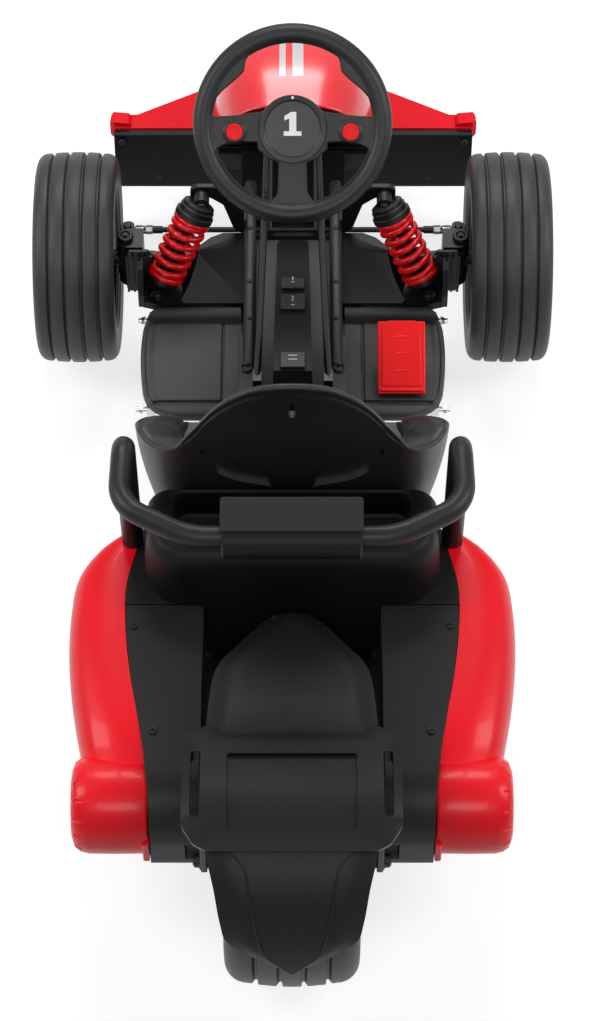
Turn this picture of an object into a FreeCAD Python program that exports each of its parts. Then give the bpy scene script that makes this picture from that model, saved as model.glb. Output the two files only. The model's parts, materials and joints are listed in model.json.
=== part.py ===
import FreeCAD, Part
import math
import os

V = FreeCAD.Vector
os.makedirs("parts", exist_ok=True)

# A child's electric go-kart with two steered front wheels and one wide driven rear wheel.
# Millimetres. X is to the driver's right, Y is forward, Z is up from the floor.

# Wheels and axles
front_tyre_radius = 150.0
front_tyre_width = 113.0
front_track = 612.0
front_axle_y = 408.0
front_sidewall = 55.1
rear_tyre_radius = 158.0
rear_tyre_width = 170.0
rear_axle_y = -557.0
rear_sidewall = 63.1
bead_inset = 9.0
bead_height = 16.0
rim_wall = 7.0
bead_clearance = 0.1
front_shoulder = 24.0
rear_shoulder = 38.0
shoulder_share = 0.29
tyre_facets = 80
front_stub_radius = 8.0
rear_axle_radius = 10.0
bearing_clearance = 0.05
front_hub_radius = 20.0
rear_hub_radius = 24.0
front_hub_half = 30.0
front_disc_x = 8.0
rear_disc_x = 40.0
disc_depth = 6.0
window_count = 5
cap_depth = 34.0
cap_radius = 28.0
cap_flange = 6.0
side_play = 1.0
collar_depth = 6.0
collar_height = 3.0
nut_depth = 9.0
nut_radius = 17.0

# Kingpins, lower arms and track rod
kingpin_inset = 68.0
kingpin_radius = 6.0
knuckle_barrel_radius = 13.0
knuckle_barrel_height = 62.0
fork_gap = 1.0
fork_lug_thickness = 13.0
fork_half_width = 17.0
upright_thickness = 8.0
arm_rise = 5.0
arm_depth = 14.0
arm_rear_reach = 58.0
rib_depth = 10.0
steering_arm_length = 50.0
steering_arm_tip = 22.0
steering_arm_depth = 12.0
steering_pin_radius = 4.0
track_eye_bore = 5.7
track_eye_radius = 10.0
track_eye_half = 7.0
track_rod_radius = 4.0
adjuster_radius = 5.5
pitman_length = 20.0
pitman_pin_radius = 4.0
relay_slot_gap = 0.5
relay_half_width = 34.0
relay_leg_radius = 5.0

# Dampers and springs
damper_inset = 45.0
damper_setback = 44.0
damper_lift = 11.3
damper_head_x = 129.0
damper_head_y = 433.0
damper_head_z = 250.0
damper_eye_radius = 11.0
damper_eye_half = 9.0
damper_body_radius = 10.0
damper_stem_radius = 6.0
spring_radius = 24.0
spring_wire = 7.0
spring_coils = 7
spring_start = 0.15
spring_end = 0.83
tower_depth = 8.0

# Steering column and steering wheel
column_angle = 50.0
wheel_hub_y = 404.0
wheel_hub_z = 450.0
column_radius = 8.0
column_foot_run = 334.0
steering_wheel_radius = 135.0
rim_tube_radius = 13.5
spoke_half_depth = 8.0
hub_radius = 46.0
hub_drop = 7.0
hub_half_depth = 13.0
button_radius = 11.5
button_reach = 78.5
button_drop = 11.0
upper_bearing_run = 52.0
upper_bearing_radius = 20.0
strut_foot_x = 49.0
strut_foot_y = 165.0
strut_foot_z = 200.0
strut_head_x = 33.0
strut_radius = 5.0

# Chassis
pan_bottom = 92.0
floor_z = 100.0
spine_half_width = 70.0
spine_top = 150.0
pan_half_width = 99.0
seat_pan_half_width = 180.0
spine_front_y = 440.0
subframe_half_width = 76.0
subframe_drop = 12.0
step_gap = 18.0
seat_base_front_y = 70.0
seat_base_half_width = 140.0
seat_base_top = 172.0
joint_gap = 0.3
rail_centre_x = 61.0
rail_width = 17.0
rail_top = 190.0
rail_rear_y = 192.0
rail_front_y = 520.0
shroud_top = 166.0
shroud_recess = 36.0

# Console and its switches
console_top = 240.0
console_rear_y = 120.0
console_front_y = 392.0
console_rear_half = 27.0
console_front_half = 22.0
switch_depth = 5.0

# Foot trays and pedal
tray_clearance = 33.5
tray_rear_y = 158.0
tray_front_y = 345.0
tray_lip = 14.0
tray_floor = 4.0
tray_wall = 5.0
rod_radius = 4.0
rod_overhang = 6.0
pedal_half_width = 33.5
pedal_share = 0.565
pedal_rear_y = 190.0
pedal_front_y = 282.0
pedal_rear_z = 118.0
pedal_front_z = 164.0
pedal_thickness = 7.0

# Charging socket
socket_y = -20.0
socket_z = 136.0
socket_radius = 15.0
socket_bore = 6.0
socket_depth = 11.0

# Seat
seat_wall = 12.0
seat_front_y = 112.0

# Rear body
shelf_front_y = -112.0
shelf_rear_y = -229.0
shelf_wall = 6.0
housing_top = 340.0
housing_half_width = 193.0
housing_recess_z = 292.0
housing_recess_half = 150.0
deck_top = 240.0
deck_bottom = 112.0
deck_rear_y = -545.0
deck_roll_radius = 70.0
well_gap = 22.0
bracket_plate = 8.0
fender_gap = 5.0
fender_wall = 4.0
fender_tip_y = -265.0
fender_tip_z = 290.0
saddle_height = 3.0
ear_reach = 26.0
motor_radius = 62.0
motor_y = -485.0
motor_z = 172.0
motor_outer_x = 278.0

# Roll bar and its pad
bar_radius = 14.0
bar_top_z = 500.0
bar_leg_x = 210.0
bar_leg_y = -144.0
bar_foot_y = -128.0
bar_foot_z = 222.0
bar_rear_y = -290.0
pad_half_width = 86.0

# Front body
nose_bottom = 152.3
nose_wall = 4.0
wing_gap = 29.0
wing_depth = 77.3
wing_top = 152.0
wing_bottom = 128.0
wing_half_width = 272.0
board_thickness = 12.0
board_bottom = 50.0
beam_half_width = 110.0

# Flank stations: y, deck half width, pod half width, pod top z, pod bottom z
flank_stations = (
    (-112.0, 199.0, 223.0, 238.0, 190.0),
    (-133.0, 202.0, 256.0, 240.0, 150.0),
    (-166.0, 210.0, 282.0, 240.0, 122.0),
    (-208.0, 217.0, 290.0, 240.0, 112.0),
    (-272.0, 215.0, 291.5, 240.0, 110.0),
    (-337.0, 207.0, 286.0, 240.0, 110.0),
    (-402.0, 195.0, 275.0, 238.0, 112.0),
    (-437.0, 189.0, 266.0, 232.0, 116.0),
    (-500.0, 182.0, 238.0, 214.0, 126.0),
)

# Seat stations: z, outer half width at the rear, at the front, outer rear y, rear corner radius
seat_stations = (
    (seat_base_top, 168.0, 158.0, -100.0, 34.0),
    (300.0, 194.0, 172.0, -110.0, 60.0),
    (390.0, 203.0, 178.0, -113.0, 62.0),
    (600.0, 203.0, 182.0, -130.0, 62.0),
)

# Half of the seat's front view: x, z, corner radius
seat_front_view = (
    (150.0, seat_base_top - 1.0, 20.0),
    (190.0, 250.0, 40.0),
    (204.0, 350.0, 30.0),
    (200.0, 400.0, 20.0),
    (176.0, 408.0, 14.0),
    (150.0, 396.0, 20.0),
    (134.0, 446.0, 24.0),
    (116.0, 506.0, 50.0),
    (88.0, 556.0, 50.0),
    (46.0, 585.0, 70.0),
)

# Nose stations: share of the wing's depth ahead of its rear edge, half width, top z, crown drop
nose_stations = (
    (-1.11, 108.0, 304.0, 44.0),
    (-0.34, 118.0, 309.0, 48.0),
    (0.34, 114.0, 302.0, 52.0),
    (0.75, 102.0, 286.0, 54.0),
    (1.0, 80.0, 256.0, 44.0),
)

# Fender trim in the plane square to the camera: distance up it from the axle, half width
fender_trim = (
    (-131.0, 20.0), (-110.7, 42.0), (-88.5, 79.0), (-66.6, 87.0), (-20.3, 95.0), (29.0, 105.0),
    (91.0, 106.7), (158.0, 106.7), (198.0, 104.0), (243.0, 95.0), (266.0, 81.0), (294.0, 42.0),
    (309.0, 20.0), (315.0, 6.0),
)
view_elevation = 57.0

# Places that follow from the sizes above
kingpin_x = front_track / 2.0 - kingpin_inset
ball_y = front_axle_y + steering_arm_length
arm_bottom = floor_z + arm_rise
arm_top = arm_bottom + arm_depth
arm_rear_y = front_axle_y - arm_rear_reach
upright_outer = kingpin_x - knuckle_barrel_radius - 4.0
upright_inner = upright_outer - upright_thickness
tray_outer = front_track / 2.0 - front_tyre_width / 2.0 - tray_clearance
tray_inner = spine_half_width + 4.0
pedal_x = spine_half_width + pedal_share * (tray_outer - spine_half_width)
damper_foot = V(kingpin_x - damper_inset, front_axle_y - damper_setback, arm_top + damper_lift)
damper_head = V(damper_head_x, damper_head_y, damper_head_z)
column_lean = math.radians(column_angle)
foot_y = wheel_hub_y + column_foot_run * math.cos(column_lean)
subframe_front_y = foot_y - 1.7
wing_rear_y = subframe_front_y + wing_gap
nose_front_y = wing_rear_y + wing_depth
subframe_top = front_tyre_radius - subframe_drop
well_half_width = rear_tyre_width / 2.0 + well_gap
well_front_y = rear_axle_y + rear_tyre_radius + fender_gap
bracket_outer = well_half_width + bracket_plate
fender_radius = rear_tyre_radius + fender_gap


# Drawing aids

def plan(z):
    return lambda u, v: V(u, v, z)


def side(x):
    return lambda u, v: V(x, u, v)


def front(y):
    return lambda u, v: V(u, y, v)


def outline(corners, place):
    """Closed wire through corners given as (u, v, corner radius)."""
    points = [place(u, v) for u, v, radius in corners]
    count = len(points)
    stretches = []
    for index, (u, v, radius) in enumerate(corners):
        here = points[index]
        back = points[index - 1].sub(here).normalize()
        ahead = points[(index + 1) % count].sub(here).normalize()
        if radius == 0.0:
            stretches.append((here, None, here))
        else:
            stretches.append(rounded(here, back, ahead, radius))
    edges = []
    for index, (entry, middle, leave) in enumerate(stretches):
        if middle is not None:
            edges.append(Part.Arc(entry, middle, leave).toShape())
        following = stretches[(index + 1) % count][0]
        if leave.distanceToPoint(following) > 0.001:
            edges.append(Part.makeLine(leave, following))
    return Part.Wire(edges)


def rounded(here, back, ahead, radius):
    """Start, middle and end of the arc that rounds a corner."""
    half = back.getAngle(ahead) / 2.0
    reach = radius / math.tan(half)
    middle = V(back).add(ahead).normalize().multiply(radius / math.sin(half) - radius)
    return here.add(V(back).multiply(reach)), here.add(middle), here.add(V(ahead).multiply(reach))


def sharp(points):
    return [(u, v, 0.0) for u, v in points]


def prism(corners, place, run):
    return Part.Face(outline(corners, place)).extrude(run)


def box(x0, x1, y0, y1, z0, z1):
    return Part.makeBox(x1 - x0, y1 - y0, z1 - z0, V(x0, y0, z0))


def rod(start, end, radius):
    run = end.sub(start)
    return Part.makeCylinder(radius, run.Length, start, run)


def mirrored(shape):
    return shape.mirror(V(0, 0, 0), V(1, 0, 0))


def joined(shapes):
    return shapes[0].fuse(shapes[1:]).removeSplitter()


def group(shapes):
    return Part.makeCompound(shapes)


def largest(shape):
    return sorted(shape.Solids, key=lambda solid: solid.Volume)[-1]


def turned(profile, centre):
    """Solid of revolution about a line along X; the profile holds (x, radius, corner radius)."""
    face = Part.Face(outline(profile, front(0.0)))
    solid = face.revolve(V(0, 0, 0), V(1, 0, 0), 360.0)
    solid.translate(centre)
    return solid


def ring(x0, x1, inner, outer, centre):
    return turned(sharp([(x0, inner), (x1, inner), (x1, outer), (x0, outer)]), centre)


def on_column(shape, run):
    """Place a shape drawn about Z with its Y up the wheel face at a distance down the column."""
    placed = shape.copy()
    placed.rotate(V(0, 0, 0), V(1, 0, 0), 90.0 - column_angle)
    placed.translate(column_point(run, 0.0))
    return placed


def column_point(run, rise):
    y = wheel_hub_y + run * math.cos(column_lean) + rise * math.sin(column_lean)
    z = wheel_hub_z - run * math.sin(column_lean) + rise * math.cos(column_lean)
    return V(0, y, z)


def front_centre():
    return V(front_track / 2.0, front_axle_y, front_tyre_radius)


def rear_centre():
    return V(0, rear_axle_y, rear_tyre_radius)


# Wheels

def faceted(profile, centre):
    """Solid about a line along X with flat facets; the profile holds (x, radius)."""
    rings = []
    for x, radius in profile:
        points = []
        for index in range(tyre_facets):
            angle = 2.0 * math.pi * index / tyre_facets
            points.append(centre.add(V(x, radius * math.cos(angle), radius * math.sin(angle))))
        rings.append(points)
    faces = []
    for near, far in zip(rings, rings[1:] + rings[:1]):
        for index in range(tyre_facets):
            following = (index + 1) % tyre_facets
            corners = [near[index], near[following], far[following], far[index], near[index]]
            faces.append(Part.Face(Part.makePolygon(corners)))
    return Part.makeSolid(Part.makeShell(faces))


def tyre(radius, width, shoulder, sidewall, centre):
    """Tyre with chamfered shoulders."""
    bead = radius - sidewall + bead_clearance
    half = width / 2.0
    cheek = shoulder_share * shoulder
    right = [(half - bead_inset, bead), (half, bead + bead_height), (half, radius - shoulder),
             (half - cheek, radius - cheek), (half - shoulder, radius)]
    left = [(-x, level) for x, level in reversed(right)]
    return faceted(right + left, centre)


def disc(x, depth, outer, inner, centre):
    """Wheel disc with round windows evenly spaced on one ring."""
    plate = ring(x, x + depth, inner, outer, centre)
    middle = (outer + inner) / 2.0
    for index in range(window_count):
        angle = 2.0 * math.pi * index / window_count
        place = centre.add(V(x - 1.0, middle * math.cos(angle), middle * math.sin(angle)))
        plate = plate.cut(Part.makeCylinder((outer - inner) * 0.23, depth + 2.0, place, V(1, 0, 0)))
    return plate


def wheel_rim(barrel_half, radius, hub_half, hub_outer, bore, disc_places, centre):
    inside = radius - rim_wall
    pieces = [ring(-barrel_half, barrel_half, inside, radius, centre)]
    for x in disc_places:
        pieces.append(disc(x, disc_depth, inside + 1.0, hub_outer - 1.0, centre))
    pieces.append(ring(-hub_half, hub_half, bore, hub_outer, centre))
    return joined(pieces)


def front_rim():
    return wheel_rim(front_tyre_width / 2.0 - bead_inset, front_tyre_radius - front_sidewall, front_hub_half,
                     front_hub_radius, front_stub_radius + bearing_clearance, (front_disc_x,),
                     front_centre())


def rear_rim():
    return wheel_rim(rear_tyre_width / 2.0 - bead_inset, rear_tyre_radius - rear_sidewall,
                     well_half_width - side_play - collar_depth, rear_hub_radius,
                     rear_axle_radius + bearing_clearance, (-rear_disc_x - disc_depth, rear_disc_x),
                     rear_centre())


def front_cap():
    """Hollow cover over the hub and its nut."""
    face = front_disc_x + disc_depth
    top = face + cap_depth
    inside = front_hub_radius + 0.1
    profile = (
        (face, inside, 0.0),
        (face, cap_radius + cap_flange, 0.0),
        (face + cap_flange, cap_radius + cap_flange, 0.0),
        (top, cap_radius, 8.0),
        (top, 0.0, 0.0),
        (top - nose_wall, 0.0, 0.0),
        (top - nose_wall, inside, 0.0),
    )
    return turned(profile, front_centre())


def rear_axle():
    end = bracket_outer + nut_depth
    centre = rear_centre()
    reach = V(end + collar_height, 0, 0)
    inside = rear_axle_radius - 1.0
    shaft = rod(centre.sub(reach), centre.add(reach), rear_axle_radius)
    collar = ring(well_half_width - collar_depth, well_half_width, inside, nut_radius, centre)
    nut = ring(bracket_outer, end, inside, nut_radius, centre)
    return joined([shaft, collar, mirrored(collar), nut, mirrored(nut)])


# Front suspension and steering linkage

def knuckle():
    z = front_tyre_radius
    half = knuckle_barrel_height / 2.0
    pin_reach = half + fork_gap + fork_lug_thickness
    pin_line = V(kingpin_x, front_axle_y, z)
    barrel = rod(pin_line.sub(V(0, 0, half)), pin_line.add(V(0, 0, half)), knuckle_barrel_radius)
    pin = rod(pin_line.sub(V(0, 0, pin_reach)), pin_line.add(V(0, 0, pin_reach)), kingpin_radius)
    hub_in = front_track / 2.0 - front_hub_half - side_play
    hub_out = front_track / 2.0 + front_hub_half + side_play
    collar = front_stub_radius + collar_height
    end_x = hub_out + nut_depth
    profile = sharp([(kingpin_x, 0.0), (end_x + collar_height, 0.0),
                     (end_x + collar_height, front_stub_radius),
                     (end_x, front_stub_radius), (end_x, collar), (hub_out, collar),
                     (hub_out, front_stub_radius),
                     (hub_in, front_stub_radius), (hub_in, collar), (kingpin_x, collar)])
    stub = turned(profile, V(0, front_axle_y, z))
    arm_half = steering_arm_depth / 2.0
    tip_y = ball_y + steering_arm_tip
    arm = prism(((kingpin_x - 7.0, front_axle_y, 0.0), (kingpin_x + 7.0, front_axle_y, 0.0),
                 (kingpin_x + 9.0, tip_y, 8.0), (kingpin_x - 9.0, tip_y, 8.0)),
                plan(z - steering_arm_depth - 8.0), V(0, 0, steering_arm_depth))
    ball = V(kingpin_x, ball_y, z)
    pin_half = V(0, 0, arm_half + 4.0)
    ball_pin = rod(ball.sub(pin_half), ball.add(pin_half), steering_pin_radius)
    return joined([barrel, pin, stub, arm, ball_pin])


def lower_arm():
    """Fixed arm from the spine to the kingpin, with the block that forks round the knuckle."""
    z = front_tyre_radius
    half = knuckle_barrel_height / 2.0 + fork_gap
    lug_outer = kingpin_x + 12.0
    low = min(z - half - fork_lug_thickness, arm_bottom)
    high = z + half + fork_lug_thickness
    rear = front_axle_y - fork_half_width
    ahead = front_axle_y + fork_half_width
    across = V(upright_thickness, 0, 0)
    upright = box(upright_inner, upright_outer, rear, ahead, low, high)
    block = prism(((arm_rear_y, low, 6.0), (rear, low, 0.0), (rear, high - 14.0, 0.0),
                   (arm_rear_y + 22.0, high - 26.0, 10.0), (arm_rear_y, low + 30.0, 8.0)),
                   side(upright_inner), across)
    pieces = [upright, block]
    for base in (z - half - fork_lug_thickness, z + half):
        pieces.append(prism(((upright_inner, rear, 0.0), (lug_outer, rear, 16.0), (lug_outer, ahead, 16.0),
                             (upright_inner, ahead, 0.0)), plan(base), V(0, 0, fork_lug_thickness)))
    pieces.append(prism(((spine_half_width, arm_rear_y + 4.0, 0.0),
                         (upright_outer - 30.0, arm_rear_y - 4.0, 12.0),
                         (upright_outer, arm_rear_y + 4.0, 10.0), (upright_outer, ahead, 0.0),
                         (spine_half_width, ahead + 11.0, 0.0)), plan(arm_bottom), V(0, 0, arm_depth)))
    pieces.append(prism(((spine_half_width, arm_top, 0.0), (upright_inner, arm_top, 0.0),
                         (upright_inner, arm_top + 30.0, 6.0), (spine_half_width, arm_top + 16.0, 0.0)),
                        front(front_axle_y + 4.0), V(0, rib_depth, 0)))
    bore = rod(V(kingpin_x, front_axle_y, low - 1.0), V(kingpin_x, front_axle_y, high + 1.0),
               kingpin_radius + bearing_clearance)
    return joined(pieces).cut(bore)


def damper_point(share):
    return damper_foot.add(damper_head.sub(damper_foot).multiply(share))


def on_damper(profile):
    """Solid turned about the damper's line; the profile holds (distance from its foot, radius)."""
    solid = turned(sharp(profile), V(0, 0, 0))
    solid.Placement = FreeCAD.Placement(damper_foot,
                                        FreeCAD.Rotation(V(1, 0, 0), damper_head.sub(damper_foot)))
    return solid


def damper():
    length = damper_head.sub(damper_foot).Length
    stem = damper_stem_radius
    profile = [(0.0, 0.0), (0.0, stem)]
    # Rows: share of the damper's length at the start, at the end, radius
    for start, end, radius in ((0.08, 0.10, damper_body_radius), (0.10, spring_start, spring_radius - 2.0),
                               (spring_start, 0.5, damper_body_radius), (0.5, spring_end, stem),
                               (spring_end, 0.95, spring_radius - 1.0)):
        profile += [(start * length, radius), (end * length, radius)]
    profile.insert(2, (0.08 * length, stem))
    profile += [(0.95 * length, stem), (length, stem), (length, 0.0)]
    eye_run = V(0, damper_eye_half, 0)
    pieces = [on_damper(profile)]
    for eye in (damper_foot, damper_head):
        pieces.append(rod(eye.sub(eye_run), eye.add(eye_run), damper_eye_radius))
    return joined(pieces)


def spring():
    """Coil spring kept as a ring of bellows, one crown for each turn."""
    length = damper_head.sub(damper_foot).Length
    start = spring_start * length
    pitch = (spring_end - spring_start) * length / spring_coils
    inner = spring_radius - spring_wire
    valley = spring_radius - spring_wire * 0.7
    profile = [(start, inner)]
    for turn in range(spring_coils):
        low = start + turn * pitch
        profile.append((low, valley))
        profile.append((low + pitch * 0.35, spring_radius))
        profile.append((low + pitch * 0.65, spring_radius))
    end = start + spring_coils * pitch
    return on_damper(profile + [(end, valley), (end, inner)])


def track_rod():
    """Rod between the steering arms, with the forked relay that the column's arm drives."""
    z = front_tyre_radius
    eye = rod(V(kingpin_x, ball_y, z - track_eye_half), V(kingpin_x, ball_y, z + track_eye_half),
              track_eye_radius)
    bar = rod(V(-kingpin_x, ball_y, z), V(kingpin_x, ball_y, z), track_rod_radius)
    adjuster = rod(V(kingpin_x - 50.0, ball_y, z), V(kingpin_x - 20.0, ball_y, z), adjuster_radius)
    near = 14.0
    foot = column_foot_run
    tab = on_column(box(-relay_half_width - 6.0, relay_half_width + 6.0, near - 2.0, 36.0, 18.0 - foot,
                        28.0 - foot),
                    0.0)
    slot_half = pitman_pin_radius + relay_slot_gap
    slot = on_column(box(-slot_half, slot_half, near - 10.0, pitman_length + slot_half, 17.0 - foot,
                         29.0 - foot), 0.0)
    leg_top = column_point(foot - 23.0, near + 4.0)
    legs = []
    for x in (-relay_half_width, relay_half_width):
        legs.append(rod(V(x, ball_y, z), leg_top.add(V(x, 0, 0)), relay_leg_radius))
    solid = joined([bar, eye, mirrored(eye), adjuster, mirrored(adjuster), tab] + legs).cut(slot)
    for x in (-kingpin_x, kingpin_x):
        solid = solid.cut(rod(V(x, ball_y, z - 20.0), V(x, ball_y, z + 20.0), track_eye_bore))
    return solid


# Steering wheel and column

def steering_rim():
    """Rim and three spokes in one casting, open in the middle for the hub."""
    major = steering_wheel_radius - rim_tube_radius
    tube = Part.makeTorus(major, rim_tube_radius, V(0, 0, 0), V(0, 0, 1))
    near = hub_radius - 16.0
    base = plan(-spoke_half_depth)
    deep = V(0, 0, spoke_half_depth * 2.0)
    side_spoke = prism(((near, -24.0, 0.0), (button_reach, -24.5, 12.0), (major + 2.0, -44.0, 6.0),
                        (major + 2.0, 9.0, 6.0), (button_reach, 12.0, 12.0), (near, 17.0, 0.0)), base, deep)
    lower_spoke = prism(((-47.0, -near, 0.0), (-47.0, -34.0, 4.0), (-32.0, -48.0, 4.0), (-18.5, -53.0, 3.0),
                         (-20.4, -92.0, 10.0), (-34.0, -major - 1.0, 6.0), (34.0, -major - 1.0, 6.0),
                         (20.4, -92.0, 10.0), (18.5, -53.0, 3.0), (32.0, -48.0, 4.0), (47.0, -34.0, 4.0),
                         (47.0, -near, 0.0)), base, deep)
    grips = []
    for turn in (45.0, 135.0):
        angle = math.radians(turn)
        reach = major - 8.0
        grips.append(Part.makeSphere(rim_tube_radius + 1.5,
                                     V(reach * math.cos(angle), reach * math.sin(angle), 0)))
    shape = joined([tube, side_spoke, mirrored(side_spoke), lower_spoke] + grips)
    hub_space = Part.makeCylinder(hub_radius + 0.1, 80.0, V(0, -hub_drop, -40.0))
    return on_column(shape.cut(hub_space), 0.0)


def steering_hub():
    low = V(0, -hub_drop, -hub_half_depth)
    return on_column(Part.makeCylinder(hub_radius, hub_half_depth * 2.0, low), 0.0)


def steering_buttons():
    buttons = []
    for x in (-button_reach, button_reach):
        foot = V(x, -button_drop, spoke_half_depth)
        buttons.append(Part.makeCylinder(button_radius, collar_depth, foot))
    return on_column(group(buttons), 0.0)


def steering_column():
    """Shaft with a short arm near its foot, whose pin drives the track rod."""
    foot = column_foot_run
    shaft = Part.makeCylinder(column_radius, foot - hub_half_depth, V(0, 0, -foot))
    arm = box(-9.0, 9.0, 0.0, pitman_length + 8.0, 30.0 - foot, 38.0 - foot)
    pin = Part.makeCylinder(pitman_pin_radius, 16.0, V(0, pitman_length, 16.0 - foot))
    return on_column(joined([shaft, arm, pin]), 0.0)


def column_bore(middle):
    return Part.makeCylinder(column_radius + bearing_clearance, 60.0, V(0, 0, -middle - 30.0))


def column_mount():
    run = upper_bearing_run
    drum = Part.makeCylinder(upper_bearing_radius, 30.0, V(0, 0, -run - 15.0))
    ear = box(-42.0, 42.0, -12.0, 8.0, -run - 11.0, -run + 11.0)
    return on_column(joined([drum, ear]).cut(column_bore(run)), 0.0)


def column_struts():
    """Two slim tubes that carry the upper bearing, each on a block on the spine."""
    foot = V(strut_foot_x, strut_foot_y, strut_foot_z)
    foot_block = box(foot.x - 6.0, foot.x + 6.0, foot.y - 12.0, foot.y + 8.0, spine_top, foot.z + 4.0)
    head = column_point(upper_bearing_run, -6.0).add(V(strut_head_x, 0, 0))
    right = largest(joined([foot_block, rod(foot, head, strut_radius)]).cut(column_mount()))
    return group([right, mirrored(right)])


def column_foot():
    foot = column_foot_run
    low = column_point(foot, 0.0)
    drum = on_column(Part.makeCylinder(13.5, 14.0, V(0, 0, -foot)), 0.0)
    post = box(-13.0, 13.0, low.y - 16.0, low.y - 1.0, subframe_top, low.z + 4.0)
    return joined([drum, post]).cut(on_column(column_bore(foot), 0.0))


# Chassis

def floor_pan():
    centre = box(-pan_half_width, pan_half_width, seat_base_front_y, spine_front_y, pan_bottom, floor_z)
    half = seat_pan_half_width
    rear = prism(((-half, shelf_rear_y, 6.0), (half, shelf_rear_y, 6.0), (half, seat_base_front_y, 20.0),
                  (-half, seat_base_front_y, 20.0)), plan(pan_bottom), V(0, 0, floor_z - pan_bottom))
    reach = well_half_width - joint_gap
    tongue = box(-reach, reach, well_front_y, shelf_rear_y + 1.0, pan_bottom, floor_z)
    return joined([centre, rear, tongue])


def chassis_spine():
    return prism(((-spine_half_width, floor_z, 0.0), (spine_half_width, floor_z, 0.0),
                  (spine_half_width, spine_top, 8.0), (-spine_half_width, spine_top, 8.0)),
                 front(seat_base_front_y), V(0, spine_front_y - seat_base_front_y, 0))


def spine_rails():
    half = rail_width / 2.0
    rail = prism(((rail_centre_x - half, spine_top, 0.0), (rail_centre_x + half, spine_top, 0.0),
                  (rail_centre_x + half, rail_top, 7.0), (rail_centre_x - half, rail_top, 7.0)),
                 front(rail_rear_y), V(0, rail_front_y - rail_rear_y, 0))
    window = box(0.0, 100.0, spine_front_y, ball_y + step_gap, 0.0,
                 front_tyre_radius + track_rod_radius + 6.0)
    rail = rail.cut(window).cut(front_subframe())
    return group([rail, mirrored(rail)])


def front_subframe():
    half = subframe_half_width
    low = box(-half, half, spine_front_y, subframe_front_y, pan_bottom, subframe_top)
    step = box(-half, half, ball_y + step_gap, rail_front_y, pan_bottom, spine_top)
    return joined([low, step])


def damper_tower():
    """Plate on the outer flank of the spine rail that holds the upper damper eye."""
    flank = rail_centre_x + rail_width / 2.0 + joint_gap
    foot = rail_top - 24.0
    low = damper_head.z - 8.0
    high = damper_head.z + 16.0
    return prism(((flank, foot, 0.0), (flank + 14.0, foot, 4.0), (damper_head.x - 30.0, low - 16.0, 8.0),
                  (damper_head.x - 12.0, low, 8.0), (damper_head.x + 16.0, low, 5.0),
                  (damper_head.x + 16.0, high, 12.0), (damper_head.x - 20.0, high, 12.0),
                  (flank, rail_top + 22.0, 0.0)),
                 front(damper_head.y + damper_eye_half + joint_gap), V(0, tower_depth, 0))


def front_shroud():
    """Moulded toe board beside the spine, hollowed where the damper stands."""
    floor = arm_top + 1.0
    rear = tray_front_y + 0.5
    slope = prism(sharp([(rear, floor), (spine_front_y, floor), (spine_front_y, shroud_top),
                         (tray_front_y + 62.0, shroud_top), (rear, floor + 4.0)]), side(0.0), V(200.0, 0, 0))
    outer = kingpin_x - 77.0
    edge = prism(((spine_half_width, tray_front_y, 0.0), (outer, tray_front_y, 10.0),
                  (outer, front_axle_y - 16.0, 16.0), (outer - 43.0, front_axle_y + 24.0, 20.0),
                  (spine_half_width + 30.0, spine_front_y, 0.0), (spine_half_width, spine_front_y, 0.0)),
                 plan(floor), V(0, 0, 80.0))
    recess = rod(damper_point(-0.3), damper_point(1.2), shroud_recess)
    rib_y = front_axle_y + 4.0
    rib_space = box(spine_half_width, upright_outer, rib_y - 1.0, rib_y + rib_depth + 1.0, 0.0,
                    arm_top + 31.0)
    return slope.common(edge).cut(recess).cut(rib_space)


def console():
    top = console_top
    body = prism(((-console_rear_half, console_rear_y, 4.0), (console_rear_half, console_rear_y, 4.0),
                  (console_front_half, console_front_y, 8.0), (-console_front_half, console_front_y, 8.0)),
                 plan(spine_top), V(0, 0, top - spine_top))
    nose = prism(sharp([(console_front_y - 72.0, top + 1.0), (console_front_y + 8.0, top + 1.0),
                        (console_front_y + 8.0, top - 35.0), (console_front_y, top - 30.0)]),
                 side(-60.0), V(120, 0, 0))
    back = prism(sharp([(console_rear_y - 10.0, top + 1.0), (console_rear_y + 25.0, top + 1.0),
                        (console_rear_y - 1.0, top - 40.0), (console_rear_y - 10.0, top - 40.0)]),
                 side(-60.0), V(120, 0, 0))
    return body.cut(nose).cut(back)


def console_switches():
    rockers = []
    # Rows: middle of the rocker along the console, half width, reach ahead of the middle
    for y, half, reach in ((295.0, 16.0, 5.0), (259.0, 17.0, 13.0), (160.0, 17.0, 13.0)):
        rockers.append(box(-half, half, y - 13.0, y + reach, console_top, console_top + switch_depth))
    return group(rockers)


# Foot trays and pedal

def tray_outline(inset):
    inner = tray_inner + inset
    outer = tray_outer - inset
    rear = tray_rear_y + inset
    ahead = tray_front_y - inset
    return ((inner, rear, 4.0), (outer - 15.0, rear, 10.0), (outer - 3.0, rear + 26.0, 20.0),
            (outer, rear + 90.0, 60.0), (outer - 4.0, ahead - 38.0, 30.0), (outer - 22.0, ahead, 12.0),
            (inner, ahead, 4.0))


def foot_tray():
    solid = prism(tray_outline(0.0), plan(floor_z), V(0, 0, tray_lip))
    hollow = prism(tray_outline(tray_wall), plan(floor_z + tray_floor), V(0, 0, tray_lip))
    rear = tray_rear_y + 10.0
    rib = box(tray_inner + 2.0, tray_outer - 14.0, rear, rear + 5.0, floor_z, floor_z + tray_lip)
    return joined([solid.cut(hollow), rib])


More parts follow.
